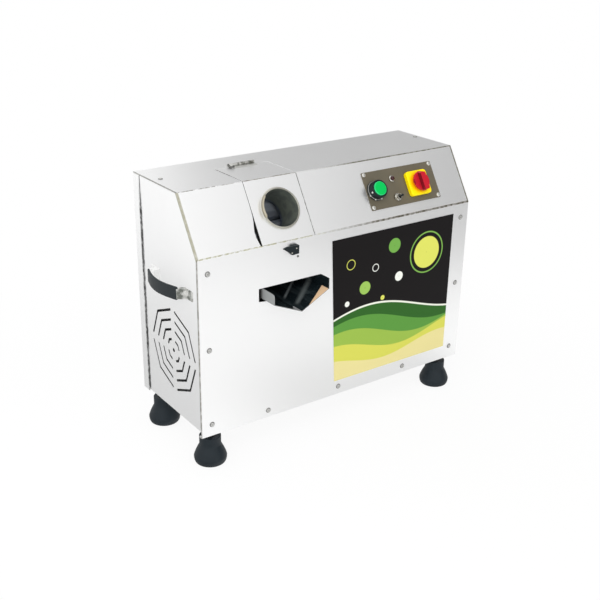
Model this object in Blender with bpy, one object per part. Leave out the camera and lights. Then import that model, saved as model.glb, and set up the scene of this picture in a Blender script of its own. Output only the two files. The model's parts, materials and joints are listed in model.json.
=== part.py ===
"""Table-top electric sugarcane juicer, built from its separate pieces.

Metres, +Z up. The front faces -Y. The origin is the middle of the bounding box, on the table.
Most pieces are written in the body frame: x from the middle, y from the front panel's face,
z from the front panel's bottom edge. The empty named machine carries that frame.
"""

import math

import bmesh
import bpy
from mathutils import Vector

for old in list(bpy.data.objects):
    bpy.data.objects.remove(old)

MM = 0.001

# Cabinet
body_width = 620 * MM
body_depth = 221 * MM
front_height = 338 * MM
slope_rise = 100 * MM
slope_run = 62.6 * MM
sheet = 1.2 * MM
gap = 0.3 * MM
side_bottom = 12 * MM
rear_bottom = 9 * MM
rear_wrap = 22 * MM
rear_seam = 3.5 * MM
flange_width = 30 * MM
front_return = 10 * MM
base_thickness = 2 * MM
base_flange = 20 * MM

# Sides of the round shapes
fine_sides = 40
medium_sides = 24
small_sides = 12
foot_sides = 20
bore_sides = 32

# Side panel vents
vent_y = 93 * MM
vent_z = 138 * MM
vent_radii = [82.5 * MM, 63 * MM, 44 * MM, 24.5 * MM]
vent_slot = 4.8 * MM
vent_rib = 9.5 * MM
vent_hole_radius = 4 * MM

# Feet
foot_height = 68 * MM
foot_top_drop = 14 * MM
foot_neck_radius = 20 * MM
foot_bulge_radius = 30.5 * MM
foot_base_radius = 26 * MM
foot_inset_x = 32.5 * MM
foot_front_y = 27 * MM
foot_rear_y = 205 * MM
stud_radius = 5 * MM
stud_nut_radius = 9 * MM
stud_nut_height = 7 * MM
stud_end = 6 * MM
stud_well = 2 * MM
foot_bulge_up = 12 * MM
foot_shoulder = 24 * MM
foot_roundness = 0.35
foot_edge = 1 * MM

# Lid with the feed tube
lid_left = -180.4 * MM
lid_width = 111.6 * MM
lid_back_y = 155.2 * MM
lid_return = 9 * MM
lid_clearance = 0.9 * MM
feed_x = -123.5 * MM
feed_up_slope = 59.4 * MM
feed_bore_radius = 33.5 * MM
feed_wall = 2.5 * MM
feed_collar = 6 * MM
feed_depth = 60 * MM
ring_width = 4 * MM
ring_height = 2.4 * MM
hinge_x = -124 * MM
hinge_length = 54 * MM
hinge_barrel_radius = 3 * MM
hinge_pin_radius = 1.5 * MM
hinge_leaf = 12 * MM
hinge_leaf_thickness = 0.8 * MM
hinge_knuckle = 15 * MM
hinge_pin_head_radius = 2.9 * MM
hinge_pin_head = 2 * MM
hinge_pin_tail = 1 * MM

# Lid switch on the front panel
switch_x = -116.5 * MM
switch_drop = 17 * MM
switch_box_width = 15 * MM
switch_box_height = 18 * MM
switch_box_depth = 4 * MM
switch_lever_depth = 5 * MM
switch_box_corner = 2 * MM
switch_lever_reach = 25 * MM
switch_lever_top = 8.8 * MM
switch_lever_heel = 7 * MM
switch_lever_bottom = -8 * MM
switch_lever_tip = 5.5 * MM

# Control plate, placed on the slope
plate_x = 156.2 * MM
plate_up = 57.3 * MM
plate_width = 172 * MM
plate_height = 74 * MM
plate_thickness = 1.5 * MM
plate_corner = 2 * MM
start_x = 89.6 * MM
start_up = 54.7 * MM
start_flange_radius = 19 * MM
start_flange_height = 3 * MM
start_body_radius = 17 * MM
start_body_height = 14 * MM
start_cap_radius = 14 * MM
start_cap_proud = 1.4 * MM
start_cap_depth = 4 * MM
start_thread_radius = 11 * MM
start_depth = 42 * MM
start_stem_radius = 4 * MM
start_travel = 3 * MM
start_edge = 1 * MM
lamp_x = 136 * MM
lamp_up = 73 * MM
lamp_nut_radius = 6.5 * MM
lamp_lens_radius = 4.4 * MM
lamp_height = 7 * MM
lamp_nut_height = 3 * MM
lamp_dome = 2 * MM
lamp_depth = 12 * MM
toggle_x = 135.5 * MM
toggle_up = 36 * MM
toggle_nut_radius = 7.5 * MM
toggle_nut_height = 4 * MM
toggle_neck_radius = 5.4 * MM
toggle_neck_height = 9 * MM
toggle_depth = 22 * MM
toggle_pivot_up = 1 * MM
toggle_seat = 4 * MM
toggle_lever_radius = 2 * MM
toggle_lever_length = 8 * MM
toggle_tilt = math.radians(14)
isolator_x = 191.4 * MM
isolator_up = 55 * MM
isolator_width = 50 * MM
isolator_height = 48 * MM
isolator_proud = 9 * MM
isolator_corner = 6 * MM
isolator_block = 44 * MM
isolator_block_depth = 40 * MM
isolator_block_corner = 3 * MM
isolator_shaft_radius = 4 * MM
isolator_shaft_depth = 10 * MM
knob_stem_radius = 11 * MM
knob_stem = 6 * MM
knob_radius = 18.5 * MM
knob_disc = 4 * MM
knob_grip_width = 12 * MM
knob_grip_height = 9 * MM
knob_grip_over = 1 * MM
knob_grip_corner = 4 * MM
knob_edge = 1 * MM

# Printed panel at the right of the front
graphic_left = -29.6 * MM
graphic_width = 300.2 * MM
graphic_bottom = 29.5 * MM
graphic_height = 289 * MM
graphic_lean = 14 * MM
graphic_thickness = 0.5 * MM

# Strap handles
handle_y = 88 * MM
handle_z = 272 * MM
handle_half_length = 52 * MM
handle_strap_width = 24 * MM
handle_strap_thickness = 4 * MM
handle_end_stand = 19 * MM
handle_bow = 11 * MM
handle_cap_toe = 21 * MM
handle_cap_toe_height = 2.2 * MM
handle_cap_nose = 5 * MM
handle_cap_lip = 2 * MM
handle_cap_ledge = 3.6 * MM
handle_cap_heel = 9 * MM
handle_cap_heel_drop = 5.6 * MM
handle_cap_width = 20 * MM

# Crusher
crusher_x = -120.5 * MM
cheek_gap = 124 * MM
cheek_thickness = 12 * MM
cheek_front_y = 58 * MM
cheek_back_y = 206 * MM
cheek_crown_front_y = 92 * MM
cheek_crown_back_y = 168 * MM
cheek_head = 43 * MM
cheek_shoulder = 56 * MM
cheek_waist = 12 * MM
cheek_waist_low_z = 262 * MM
cheek_waist_high_z = 273 * MM
cheek_bore_clearance = 1 * MM
bearing_plate_thickness = 6 * MM
bearing_plate_margin = 17 * MM
journal_clearance = 0.08 * MM
roller_radius = 30 * MM
roller_gap = 1 * MM
roller_side_gap = 2 * MM
roller_flutes = 14
flute_depth = 1.2 * MM
shaft_radius = 12 * MM
nip_up_slope = 58.5 * MM
nip_distance = 95 * MM
discharge_angle = math.radians(68)
turn_plate_clearance = 1.8 * MM
turn_plate_up = 19 * MM
turn_plate_down = 21 * MM
tie_bar_radius = 6 * MM
front_bar_y = 78 * MM
front_bar_z = 60 * MM

# Gears
gear_teeth = 24
gear_width = 16 * MM
bull_teeth = 48
pinion_teeth = 16
drive_module = 2.5 * MM
drive_width = 16 * MM
drive_direction = math.radians(-95)
tooth_backlash = 0.35 * MM
side_play = 1 * MM

# Gear motor on its stand
stand_thickness = 10 * MM
stand_front_y = 66 * MM
stand_back_y = 190 * MM
stand_head = 41 * MM
stand_crown_y = 90 * MM
stand_crown_back_y = 160 * MM
stand_shoulder = 40 * MM
output_shaft_radius = 10 * MM
reducer_radius = 46 * MM
reducer_length = 70 * MM
output_shaft_seat = 8 * MM
motor_radius = 52 * MM
motor_length = 122 * MM
motor_fins = 18
motor_fin_depth = 4 * MM
fan_cover_radius = 50 * MM
fan_cover_length = 40 * MM
fan_cover_wall = 1.5 * MM
fan_cover_edge = 4 * MM
fan_cover_hole = 8 * MM

# Juice tray
tray_half_width = 59.5 * MM
tray_top_z = 260 * MM
tray_corner_z = 240 * MM
tray_apex_z = 212 * MM
tray_front_y = -36 * MM
tray_back_y = 203 * MM
spout_half_width = 67.5 * MM
spout_shoulder_z = 236 * MM
spout_shoulder_half_width = 48 * MM
rear_bar_y = 188 * MM

# Bagasse chute and cable gland at the rear
chute_half_width = 56 * MM
chute_start_y = 192 * MM
chute_over_discharge = 33.3 * MM
chute_end_y = 250 * MM
chute_fall = 23 * MM
chute_wall = 42 * MM
gland_x = 250 * MM
gland_z = 62 * MM
gland_nut_radius = 12 * MM
gland_thread_radius = 8 * MM
gland_bore_radius = 4 * MM
gland_inside = 8 * MM
gland_nut_height = 6 * MM
gland_dome_radius = 9 * MM
gland_dome_height = 10 * MM
gland_lip = 1 * MM
gland_lip_height = 3 * MM

# Places worked out from the sizes above
slope_angle = math.atan2(slope_run, slope_rise)
body_top = front_height + slope_rise
half_width = body_width / 2
cover_fit = sheet + gap
middle_y = (tray_front_y + chute_end_y) / 2
side_back_y = body_depth - rear_wrap - rear_seam
lid_right = lid_left + lid_width
tube_radius = feed_bore_radius + feed_wall
roller_pitch = 2 * roller_radius + roller_gap
gear_module = roller_pitch / gear_teeth
roller_length = cheek_gap - 2 * roller_side_gap
cheek_bottom_z = side_bottom + base_thickness + gap
left_cheek_x = crusher_x - cheek_gap / 2 - cheek_thickness
right_cheek_x = crusher_x + cheek_gap / 2
gear_x = right_cheek_x + cheek_thickness + gap + bearing_plate_thickness + side_play
bull_x = gear_x + gear_width + side_play
stand_x = bull_x + drive_width + side_play
motor_x = stand_x + stand_thickness + gap
tray_lip_slope = (tray_corner_z - tray_apex_z) / tray_half_width


def slope_point(up, depth):
    """A point of the side view, up the slope from its lower edge and depth below its skin."""
    y = up * math.sin(slope_angle) + depth * math.cos(slope_angle)
    z = front_height + up * math.cos(slope_angle) - depth * math.sin(slope_angle)
    return Vector((y, z))


def slope_y(z, depth):
    """The y of the line that lies depth below the slope's skin, at height z."""
    return (depth + (z - front_height) * math.sin(slope_angle)) / math.cos(slope_angle)


feed_normal = Vector((math.sin(slope_angle), math.cos(slope_angle)))
nip = slope_point(nip_up_slope, nip_distance)
top_axis = nip + feed_normal * roller_pitch / 2
feed_axis = nip - feed_normal * roller_pitch / 2
feed_angle = math.atan2(feed_axis.y - top_axis.y, feed_axis.x - top_axis.x)
discharge_direction = feed_angle + discharge_angle
discharge_way = Vector((math.cos(discharge_direction), math.sin(discharge_direction)))
discharge_axis = top_axis + roller_pitch * discharge_way
cheek_top_z = top_axis.y + cheek_head
cheek_shoulder_z = cheek_top_z - cheek_shoulder
stand_top_z = top_axis.y + stand_head
chute_start_z = discharge_axis.y + chute_over_discharge
drive_distance = drive_module * (bull_teeth + pinion_teeth) / 2
drive_way = Vector((math.cos(drive_direction), math.sin(drive_direction)))
motor_axis = top_axis + drive_distance * drive_way


def material(name, colour, metallic, roughness):
    """One plain Principled material."""
    made = bpy.data.materials.new(name)
    made.use_nodes = True
    shader = made.node_tree.nodes["Principled BSDF"]
    shader.inputs["Base Color"].default_value = (*colour, 1)
    shader.inputs["Metallic"].default_value = metallic
    shader.inputs["Roughness"].default_value = roughness
    return made


stainless = material("stainless", (0.80, 0.81, 0.82), 1.0, 0.3)
tube_steel = material("tube_steel", (0.45, 0.46, 0.44), 1.0, 0.35)
roller_steel = material("roller_steel", (0.62, 0.62, 0.62), 1.0, 0.35)
cast_iron = material("cast_iron", (0.16, 0.18, 0.19), 0.6, 0.6)
bronze = material("bronze", (0.55, 0.38, 0.17), 1.0, 0.4)
motor_paint = material("motor_paint", (0.10, 0.22, 0.38), 0.2, 0.5)
black_rubber = material("black_rubber", (0.02, 0.03, 0.035), 0.0, 0.7)
black_plastic = material("black_plastic", (0.02, 0.025, 0.03), 0.0, 0.4)
nickel = material("nickel", (0.60, 0.60, 0.56), 1.0, 0.25)
olive_paint = material("olive_paint", (0.15, 0.12, 0.09), 0.3, 0.45)
green_plastic = material("green_plastic", (0.0, 0.60, 0.08), 0.0, 0.35)
yellow_plastic = material("yellow_plastic", (1.0, 0.75, 0.0), 0.0, 0.35)
red_plastic = material("red_plastic", (0.65, 0.02, 0.04), 0.0, 0.35)
red_lens = material("red_lens", (0.20, 0.01, 0.02), 0.0, 0.15)
printed_film = material("printed_film", (0.02, 0.017, 0.018), 0.0, 0.4)


def empty(name, parent, location, rotation=(0, 0, 0)):
    """A frame that pieces are placed in."""
    made = bpy.data.objects.new(name, None)
    made.location = location
    made.rotation_euler = rotation
    made.parent = parent
    bpy.context.collection.objects.link(made)
    return made


machine = empty("machine", None, (0, -middle_y, foot_height))
slope = empty("slope", machine, (0, 0, front_height), (math.pi / 2 - slope_angle, 0, 0))


def add_object(name, bm, parent, location, finish, smooth):
    """Link a finished bmesh as one named object."""
    bmesh.ops.recalc_face_normals(bm, faces=bm.faces)
    mesh = bpy.data.meshes.new(name)
    bm.to_mesh(mesh)
    bm.free()
    if smooth:
        mesh.shade_smooth()
        mesh.set_sharp_from_angle(angle=math.radians(35))
    made = bpy.data.objects.new(name, mesh)
    made.parent = parent
    made.location = location
    if finish:
        made.data.materials.append(finish)
    bpy.context.collection.objects.link(made)
    return made


def axis_point(axis, a, b, along):
    """A point from its two outline coordinates and its place along the extrusion axis."""
    if axis == "X":
        return Vector((along, a, b))
    if axis == "Y":
        return Vector((a, along, b))
    return Vector((a, b, along))


def extrude_into(bm, axis, low, high, outline, holes=()):
    """Add one closed prism of an outline, with holes, to a bmesh."""
    edges = []
    for loop in (outline, *holes):
        verts = [bm.verts.new(axis_point(axis, a, b, low)) for a, b in loop]
        edges += [bm.edges.new((verts[i - 1], verts[i])) for i in range(len(verts))]
    before = set(bm.faces)
    if holes:
        bmesh.ops.triangle_fill(bm, use_beauty=True, edges=edges)
    else:
        bm.faces.new(verts)
    faces = [face for face in bm.faces if face not in before]
    made = bmesh.ops.extrude_face_region(bm, geom=faces)["geom"]
    moved = [item for item in made if isinstance(item, bmesh.types.BMVert)]
    bmesh.ops.translate(bm, verts=moved, vec=axis_point(axis, 0, 0, high - low))


def prism(
    name, axis, low, high, outline, finish=None, holes=(), parent=machine, location=(0, 0, 0), smooth=False
):
    """A closed prism of an outline along X, Y or Z."""
    bm = bmesh.new()
    extrude_into(bm, axis, low, high, outline, holes)
    return add_object(name, bm, parent, location, finish, smooth)


def turned(name, profile, finish=None, parent=machine, location=(0, 0, 0), axis="Z", segments=fine_sides):
    """A closed solid of revolution from a closed profile of radius and height."""
    bm = bmesh.new()
    verts = [bm.verts.new((radius, 0, height)) for radius, height in profile]
    edges = [bm.edges.new((verts[i - 1], verts[i])) for i in range(len(verts))]
    for edge in [edge for edge in edges if max(vert.co.x for vert in edge.verts) < 1e-9]:
        bm.edges.remove(edge)
    kept = [edge for edge in bm.edges]
    bmesh.ops.spin(bm, geom=verts + kept, cent=(0, 0, 0), axis=(0, 0, 1), angle=2 * math.pi, steps=segments)
    bmesh.ops.remove_doubles(bm, verts=bm.verts, dist=1e-6)
    if axis == "X":
        turn = [Vector((vert.co.z, vert.co.x, vert.co.y)) for vert in bm.verts]
    elif axis == "Y":
        turn = [Vector((vert.co.y, vert.co.z, vert.co.x)) for vert in bm.verts]
    else:
        turn = [vert.co.copy() for vert in bm.verts]
    for vert, place in zip(bm.verts, turn):
        vert.co = place
    return add_object(name, bm, parent, location, finish, True)


def circle(centre_a, centre_b, radius, count):
    """A closed ring of points."""
    angles = [2 * math.pi * i / count for i in range(count)]
    return [(centre_a + radius * math.cos(t), centre_b + radius * math.sin(t)) for t in angles]


def bore(centre_a, centre_b, radius, count):
    """A ring whose flats, not its corners, lie at the radius, for a hole that a shaft turns in."""
    return circle(centre_a, centre_b, radius / math.cos(math.pi / count), count)


def rectangle(low_a, low_b, high_a, high_b):
    """The four corners of a rectangle."""
    return [(low_a, low_b), (high_a, low_b), (high_a, high_b), (low_a, high_b)]


def rounded_rectangle(width, height, radius, steps=4):
    """A rectangle about its middle with round corners."""
    points = []
    corners = [(1, 1, 0), (-1, 1, 90), (-1, -1, 180), (1, -1, 270)]
    for sign_a, sign_b, start in corners:
        for step in range(steps + 1):
            angle = math.radians(start + 90 * step / steps)
            a = sign_a * (width / 2 - radius) + radius * math.cos(angle)
            b = sign_b * (height / 2 - radius) + radius * math.sin(angle)
            points.append((a, b))
    return points


def boolean(target, other, operation):
    """Combine a piece with a hidden helper shape."""
    other.hide_render = True
    other.display_type = "WIRE"
    modifier = target.modifiers.new(other.name, "BOOLEAN")
    modifier.object = other
    modifier.operation = operation
    modifier.solver = "EXACT"


def gear_outline(teeth, module, first_tooth):
    """The involute outline of a spur gear in its own plane, with a tooth at the first angle."""
    pressure = math.radians(20)
    pitch_radius = teeth * module / 2
    base_radius = pitch_radius * math.cos(pressure)
    tip_radius = pitch_radius + 0.95 * module
    root_radius = pitch_radius - 1.25 * module
    start_radius = max(base_radius, root_radius)
    involute_at_pitch = math.tan(pressure) - pressure
    half_tooth = math.pi / (2 * teeth) - tooth_backlash / (2 * pitch_radius)
    flank = []
    for step in range(3):
        radius = start_radius + (tip_radius - start_radius) * step / 2
        angle = math.acos(min(1, base_radius / radius))
        flank.append((radius, half_tooth + involute_at_pitch - (math.tan(angle) - angle)))
    side = [(root_radius, flank[0][1])] + flank[1:]
    points = []
    for tooth in range(teeth):
        middle = first_tooth + 2 * math.pi * tooth / teeth
        for radius, half in side:
            points.append((radius * math.cos(middle - half), radius * math.sin(middle - half)))
        for radius, half in reversed(side):
            points.append((radius * math.cos(middle + half), radius * math.sin(middle + half)))
    return points


def mating_tooth(first_tooth, direction, radius, mate_radius, mate_teeth):
    """The first tooth angle of a gear that meshes at a direction from the first gear."""
    offset = (first_tooth - direction) * radius / mate_radius
    return direction + math.pi - offset + math.pi / mate_teeth


def spur_gear(name, teeth, module, width, first_tooth, parent, x):
    """A spur gear about its parent's X axis."""
    hub = bore(0, 0, shaft_radius + gap, small_sides)
    outline = gear_outline(teeth, module, first_tooth)
    return prism(name, "X", x, x + width, outline, cast_iron, [hub], parent)


def base_plate():
    """The folded floor that the feet, cheeks and motor stand are bolted to."""
    front_y = cover_fit
    back_y = body_depth - cover_fit
    low = side_bottom
    top = low + base_thickness
    flange_y = front_y + sheet + gap
    profile = [
        (front_y, low),
        (back_y, low),
        (back_y, low + base_flange),
        (back_y - base_thickness, low + base_flange),
        (back_y - base_thickness, top),
        (flange_y + base_thickness, top),
        (flange_y + base_thickness, low + base_flange),
        (flange_y, low + base_flange),
        (flange_y, top),
        (front_y, top),
    ]
    inside = half_width - cover_fit
    plate = prism("base_plate", "X", -inside, inside, profile, stainless)
    bm = bmesh.new()
    for x in (-half_width + foot_inset_x, half_width - foot_inset_x):
        for y in (foot_front_y, foot_rear_y):
            extrude_into(bm, "Z", low - gap, top + gap, bore(x, y, stud_radius + gap, small_sides))
    boolean(plate, add_object("cutter_stud_holes", bm, machine, (0, 0, 0), None, False), "DIFFERENCE")


base_plate()


def spout_opening():
    """The hole in the front panel that follows the tray's underside with a small clearance."""
    drop = 2 * gap
    shoulder = tray_apex_z + tray_lip_slope * spout_shoulder_half_width - drop
    half = [
        (spout_half_width, tray_top_z + gap),
        (spout_half_width, spout_shoulder_z),
        (spout_shoulder_half_width, shoulder),
    ]
    right = [(crusher_x + x, z) for x, z in half]
    left = [(crusher_x - x, z) for x, z in reversed(half)]
    return right + [(crusher_x, tray_apex_z - drop)] + left


def front_panel():
    """The front sheet with its bottom edge folded back."""
    profile = [
        (0, 0),
        (0, front_height),
        (sheet, front_height),
        (sheet, sheet),
        (front_return, sheet),
        (front_return, 0),
    ]
    panel = prism("front_panel", "X", -half_width, half_width, profile, stainless)
    boolean(panel, prism("cutter_spout", "Y", -sheet, 2 * sheet, spout_opening()), "DIFFERENCE")


front_panel()


def octagon_point(radius, start, end, share):
    """A point on the side of an octagon between the corners at two angles."""
    first = Vector((math.cos(start), math.sin(start))) * radius
    last = Vector((math.cos(end), math.sin(end))) * radius
    point = first.lerp(last, share)
    return vent_y + point.x, vent_z + point.y


def vent_slots(bm, low_x, high_x):
    """Four rings of bent slots, each ring an octagon broken by ribs on the four axes."""
    for radius in vent_radii:
        inner = radius - vent_slot
        share = vent_rib / radius
        for quarter in range(4):
            start = math.radians(90 * quarter)
            corner = math.radians(90 * quarter + 45)
            end = math.radians(90 * quarter + 90)
            loop = [
                octagon_point(radius, start, corner, share),
                octagon_point(radius, corner, end, 0),
                octagon_point(radius, corner, end, 1 - share),
                octagon_point(inner, corner, end, 1 - share),
                octagon_point(inner, corner, end, 0),
                octagon_point(inner, start, corner, share),
            ]
            extrude_into(bm, "X", low_x, high_x, loop)
    extrude_into(bm, "X", low_x, high_x, circle(vent_y, vent_z, vent_hole_radius, small_sides))


def side_panel(name, side):
    """A side sheet folded in at its front and back edges, trimmed to the slope and vented."""
    outer = side * half_width
    inner = outer - side * sheet
    fold = outer - side * flange_width
    profile = [
        (fold, cover_fit),
        (outer, cover_fit),
        (outer, side_back_y),
        (fold, side_back_y),
        (fold, side_back_y - sheet),
        (inner, side_back_y - sheet),
        (inner, cover_fit + sheet),
        (fold, cover_fit + sheet),
    ]
    top = body_top - cover_fit
    panel = prism(name, "Z", cheek_bottom_z, top, profile, stainless)
    over = front_height + slope_rise
    low_z = front_height - flange_width
    wedge = [
        (slope_y(low_z, cover_fit), low_z),
        (slope_y(over, cover_fit), over),
        (-flange_width, over),
        (-flange_width, low_z),
    ]
    low_x = min(outer, fold) - sheet
    high_x = max(outer, fold) + sheet
    boolean(panel, prism("cutter_slope_" + name, "X", low_x, high_x, wedge), "DIFFERENCE")
    bm = bmesh.new()
    vent_slots(bm, min(outer, inner) - sheet, max(outer, inner) + sheet)
    boolean(panel, add_object("cutter_vents_" + name, bm, machine, (0, 0, 0), None, False), "DIFFERENCE")


side_panel("left_side_panel", -1)
side_panel("right_side_panel", 1)


def chute_z(y, lift):
    """Height on the chute's floor line at y, lifted by a share of its wall."""
    share = (y - chute_start_y) / (chute_end_y - chute_start_y)
    return chute_start_z - chute_fall * share + lift


def rear_cover():
    """The back sheet with folded sides, a window for the chute and a hole for the gland."""
    front_y = body_depth - rear_wrap
    inner_y = body_depth - sheet
    inner_x = half_width - sheet
    profile = [
        (-half_width, front_y),
        (-half_width, body_depth),
        (half_width, body_depth),
        (half_width, front_y),
        (inner_x, front_y),
        (inner_x, inner_y),
        (-inner_x, inner_y),
        (-inner_x, front_y),
    ]
    cover = prism("rear_cover", "Z", rear_bottom, body_top - cover_fit, profile, stainless)
    side = chute_half_width + gap
    low = chute_z(body_depth, 0) - gap
    high = chute_z(inner_y, chute_wall) + gap
    window = rectangle(crusher_x - side, low, crusher_x + side, high)
    boolean(cover, prism("cutter_chute", "Y", inner_y - sheet, body_depth + sheet, window), "DIFFERENCE")
    ring = bore(gland_x, gland_z, gland_thread_radius + gap, medium_sides)
    boolean(cover, prism("cutter_gland", "Y", inner_y - sheet, body_depth + sheet, ring), "DIFFERENCE")


rear_cover()


def skin_profile(back_y, depth):
    """The side view of a sheet that follows the slope and the top, its skin depth below them."""
    low = front_height + gap
    top = body_top - depth
    inner_top = top - sheet
    return [
        (slope_y(low, depth), low),
        (slope_y(top, depth), top),
        (back_y, top),
        (back_y, inner_top),
        (slope_y(inner_top, depth + sheet), inner_top),
        (slope_y(low, depth + sheet), low),
    ]


def control_holes():
    """The holes for the four controls, alike in the top cover and in the plate on it."""
    return [
        bore(start_x, start_up, start_thread_radius + gap, medium_sides),
        bore(lamp_x, lamp_up, lamp_lens_radius + gap, small_sides),
        bore(toggle_x, toggle_up, toggle_neck_radius + gap, small_sides),
        bore(isolator_x, isolator_up, isolator_shaft_radius + 4 * gap, small_sides),
    ]


def top_cover():
    """The folded top and slope sheet, notched for the lid and drilled for the controls."""
    cover = prism("top_cover", "X", -half_width, half_width, skin_profile(body_depth, 0), stainless)
    notch = rectangle(lid_left - lid_clearance, -sheet, lid_right + lid_clearance, lid_back_y + 2 * gap)
    low = front_height - sheet
    boolean(cover, prism("cutter_lid", "Z", low, body_top + sheet, notch), "DIFFERENCE")
    bm = bmesh.new()
    for hole in control_holes():
        extrude_into(bm, "Z", -3 * sheet, sheet, hole)
    boolean(cover, add_object("cutter_controls", bm, slope, (0, 0, 0), None, False), "DIFFERENCE")


top_cover()

hinge_y = lid_back_y + gap
hinge_z = body_top + gap + hinge_barrel_radius
lid_pivot = empty("lid_pivot", machine, (0, hinge_y, hinge_z))
lid_frame = empty("lid_frame", lid_pivot, (0, -hinge_y, -hinge_z))
lid_slope = empty("lid_slope", lid_frame, (0, 0, front_height), (math.pi / 2 - slope_angle, 0, 0))


def feed_lid():
    """The hinged lid, a bent sheet with folded sides and a round hole for the tube."""
    block = skin_profile(lid_back_y, 0)[:3]
    depth_low = front_height + gap
    deep = body_top - lid_return
    block += [
        (lid_back_y, deep),
        (slope_y(deep, lid_return), deep),
        (slope_y(depth_low, lid_return), depth_low),
    ]
    lid = prism("feed_lid", "X", lid_left, lid_right, block, stainless, parent=lid_frame)
    inner_top = body_top - sheet
    below = depth_low - sheet
    deeper = deep - 2 * sheet
    hollow = [
        (slope_y(below, sheet), below),
        (slope_y(inner_top, sheet), inner_top),
        (lid_back_y + sheet, inner_top),
        (lid_back_y + sheet, deeper),
        (slope_y(deeper, lid_return + 2 * sheet), deeper),
        (slope_y(below, lid_return + 2 * sheet), below),
    ]
    space = prism("cutter_lid_hollow", "X", lid_left + sheet, lid_right - sheet, hollow, parent=lid_frame)
    boolean(lid, space, "DIFFERENCE")
    hole = bore(feed_x, feed_up_slope, tube_radius + gap, fine_sides)
    boolean(lid, prism("cutter_tube", "Z", -3 * sheet, sheet, hole, parent=lid_slope), "DIFFERENCE")


feed_lid()


def feed_tube():
    """The stainless feed tube with its rolled rim, and the weld ring that holds it to the lid."""
    profile = [
        (feed_bore_radius, -feed_depth),
        (tube_radius, -feed_depth),
        (tube_radius, feed_collar - feed_wall),
        (tube_radius + feed_wall / 2, feed_collar - feed_wall / 2),
        (tube_radius, feed_collar),
        (feed_bore_radius, feed_collar),
    ]
    place = (feed_x, feed_up_slope, 0)
    turned("feed_tube", profile, tube_steel, lid_slope, place)
    inner = tube_radius + gap
    ring = [
        (inner, gap),
        (inner + ring_width, gap),
        (inner + ring_width * 0.75, ring_height),
        (inner, ring_height),
    ]
    turned("feed_ring", ring, stainless, lid_slope, place)


feed_tube()


def hinge_outline(direction, bottom):
    """A barrel with a flat leaf on one side, around the pin's axis."""
    points = []
    start = math.asin((hinge_leaf_thickness - hinge_barrel_radius) / hinge_barrel_radius)
    for step in range(11):
        angle = start + (math.pi * 1.5 - start) * step / 10
        reach = direction * hinge_barrel_radius * math.cos(angle)
        points.append((reach, hinge_barrel_radius * math.sin(angle)))
    points.append((direction * hinge_leaf, bottom))
    points.append((direction * hinge_leaf, bottom + hinge_leaf_thickness))
    return points


def lid_hinge():
    """A small butt hinge on top: one leaf on the cover, one on the lid, and its pin."""
    low = hinge_x - hinge_length / 2
    high = hinge_x + hinge_length / 2
    bottom = -hinge_barrel_radius
    pin_hole = [bore(0, 0, hinge_pin_radius + gap, small_sides)]
    reach = hinge_barrel_radius + gap
    fixed_frame = empty("hinge_frame", machine, (0, hinge_y, hinge_z))
    leaf = hinge_outline(1, bottom)
    fixed = prism("lid_hinge_fixed_leaf", "X", low, high, leaf, nickel, pin_hole, fixed_frame)
    middle = rectangle(-reach, -2 * reach, reach, reach)
    low_middle = low + hinge_knuckle
    high_middle = high - hinge_knuckle
    cut = prism("cutter_middle_knuckle", "X", low_middle - gap, high_middle + gap, middle, parent=fixed_frame)
    boolean(fixed, cut, "DIFFERENCE")
    leaf = hinge_outline(-1, bottom)
    moving = prism("lid_hinge_moving_leaf", "X", low, high, leaf, nickel, pin_hole, lid_pivot)
    bm = bmesh.new()
    extrude_into(bm, "X", low - gap, low_middle, middle)
    extrude_into(bm, "X", high_middle, high + gap, middle)
    ends = add_object("cutter_end_knuckles", bm, lid_pivot, (0, 0, 0), None, False)
    boolean(moving, ends, "DIFFERENCE")
    pin = [
        (0, low - hinge_pin_head),
        (hinge_pin_head_radius, low - hinge_pin_head),
        (hinge_pin_head_radius, low - gap),
        (hinge_pin_radius, low - gap),
        (hinge_pin_radius, high + hinge_pin_tail),
        (0, high + hinge_pin_tail),
    ]
    turned("lid_hinge_pin", pin, nickel, fixed_frame, axis="X", segments=small_sides)


lid_hinge()


def lid_switch():
    """The small switch under the slope's seam: a black box and its sprung lever."""
    box = rounded_rectangle(switch_box_width, switch_box_height, switch_box_corner, 3)
    place = (switch_x, 0, front_height - switch_drop)
    front = -gap - switch_box_depth
    prism("lid_switch_body", "Y", front, -gap, box, black_plastic, location=place)
    lever = [
        (-switch_lever_reach, switch_lever_top - switch_box_corner),
        (-switch_lever_reach + switch_lever_heel, switch_lever_top),
        (switch_lever_heel - switch_box_corner, switch_lever_top),
        (switch_lever_heel, switch_lever_top - 2 * switch_box_corner),
        (switch_lever_heel, switch_lever_bottom + 2 * switch_box_corner),
        (switch_lever_heel - 2 * switch_box_corner, switch_lever_bottom + switch_box_corner / 2),
        (-switch_lever_heel, switch_lever_bottom),
        (-switch_lever_heel - 2 * switch_box_corner, switch_lever_bottom + 2 * switch_box_corner),
        (-switch_lever_reach, switch_lever_tip),
    ]
    low = front - gap - switch_lever_depth
    prism("lid_switch_lever", "Y", low, front - gap, lever, black_plastic, location=place)


lid_switch()


def graphic_panel():
    """The printed film on the right of the front; its left edge is cut at a slant."""
    right = graphic_left + graphic_width
    top = graphic_bottom + graphic_height
    outline = [
        (graphic_left + graphic_lean, graphic_bottom),
        (right, graphic_bottom),
        (right, top),
        (graphic_left, top),
    ]
    prism("graphic_panel", "Y", -gap / 2 - graphic_thickness, -gap / 2, outline, printed_film)


graphic_panel()


def control_plate():
    """The olive plate on the slope with a hole for each control."""
    shape = rounded_rectangle(plate_width, plate_height, plate_corner, 3)
    outline = [(plate_x + a, plate_up + b) for a, b in shape]
    prism("control_plate", "Z", gap, gap + plate_thickness, outline, olive_paint, control_holes(), slope)


control_plate()
plate_face = 2 * gap + plate_thickness


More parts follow.
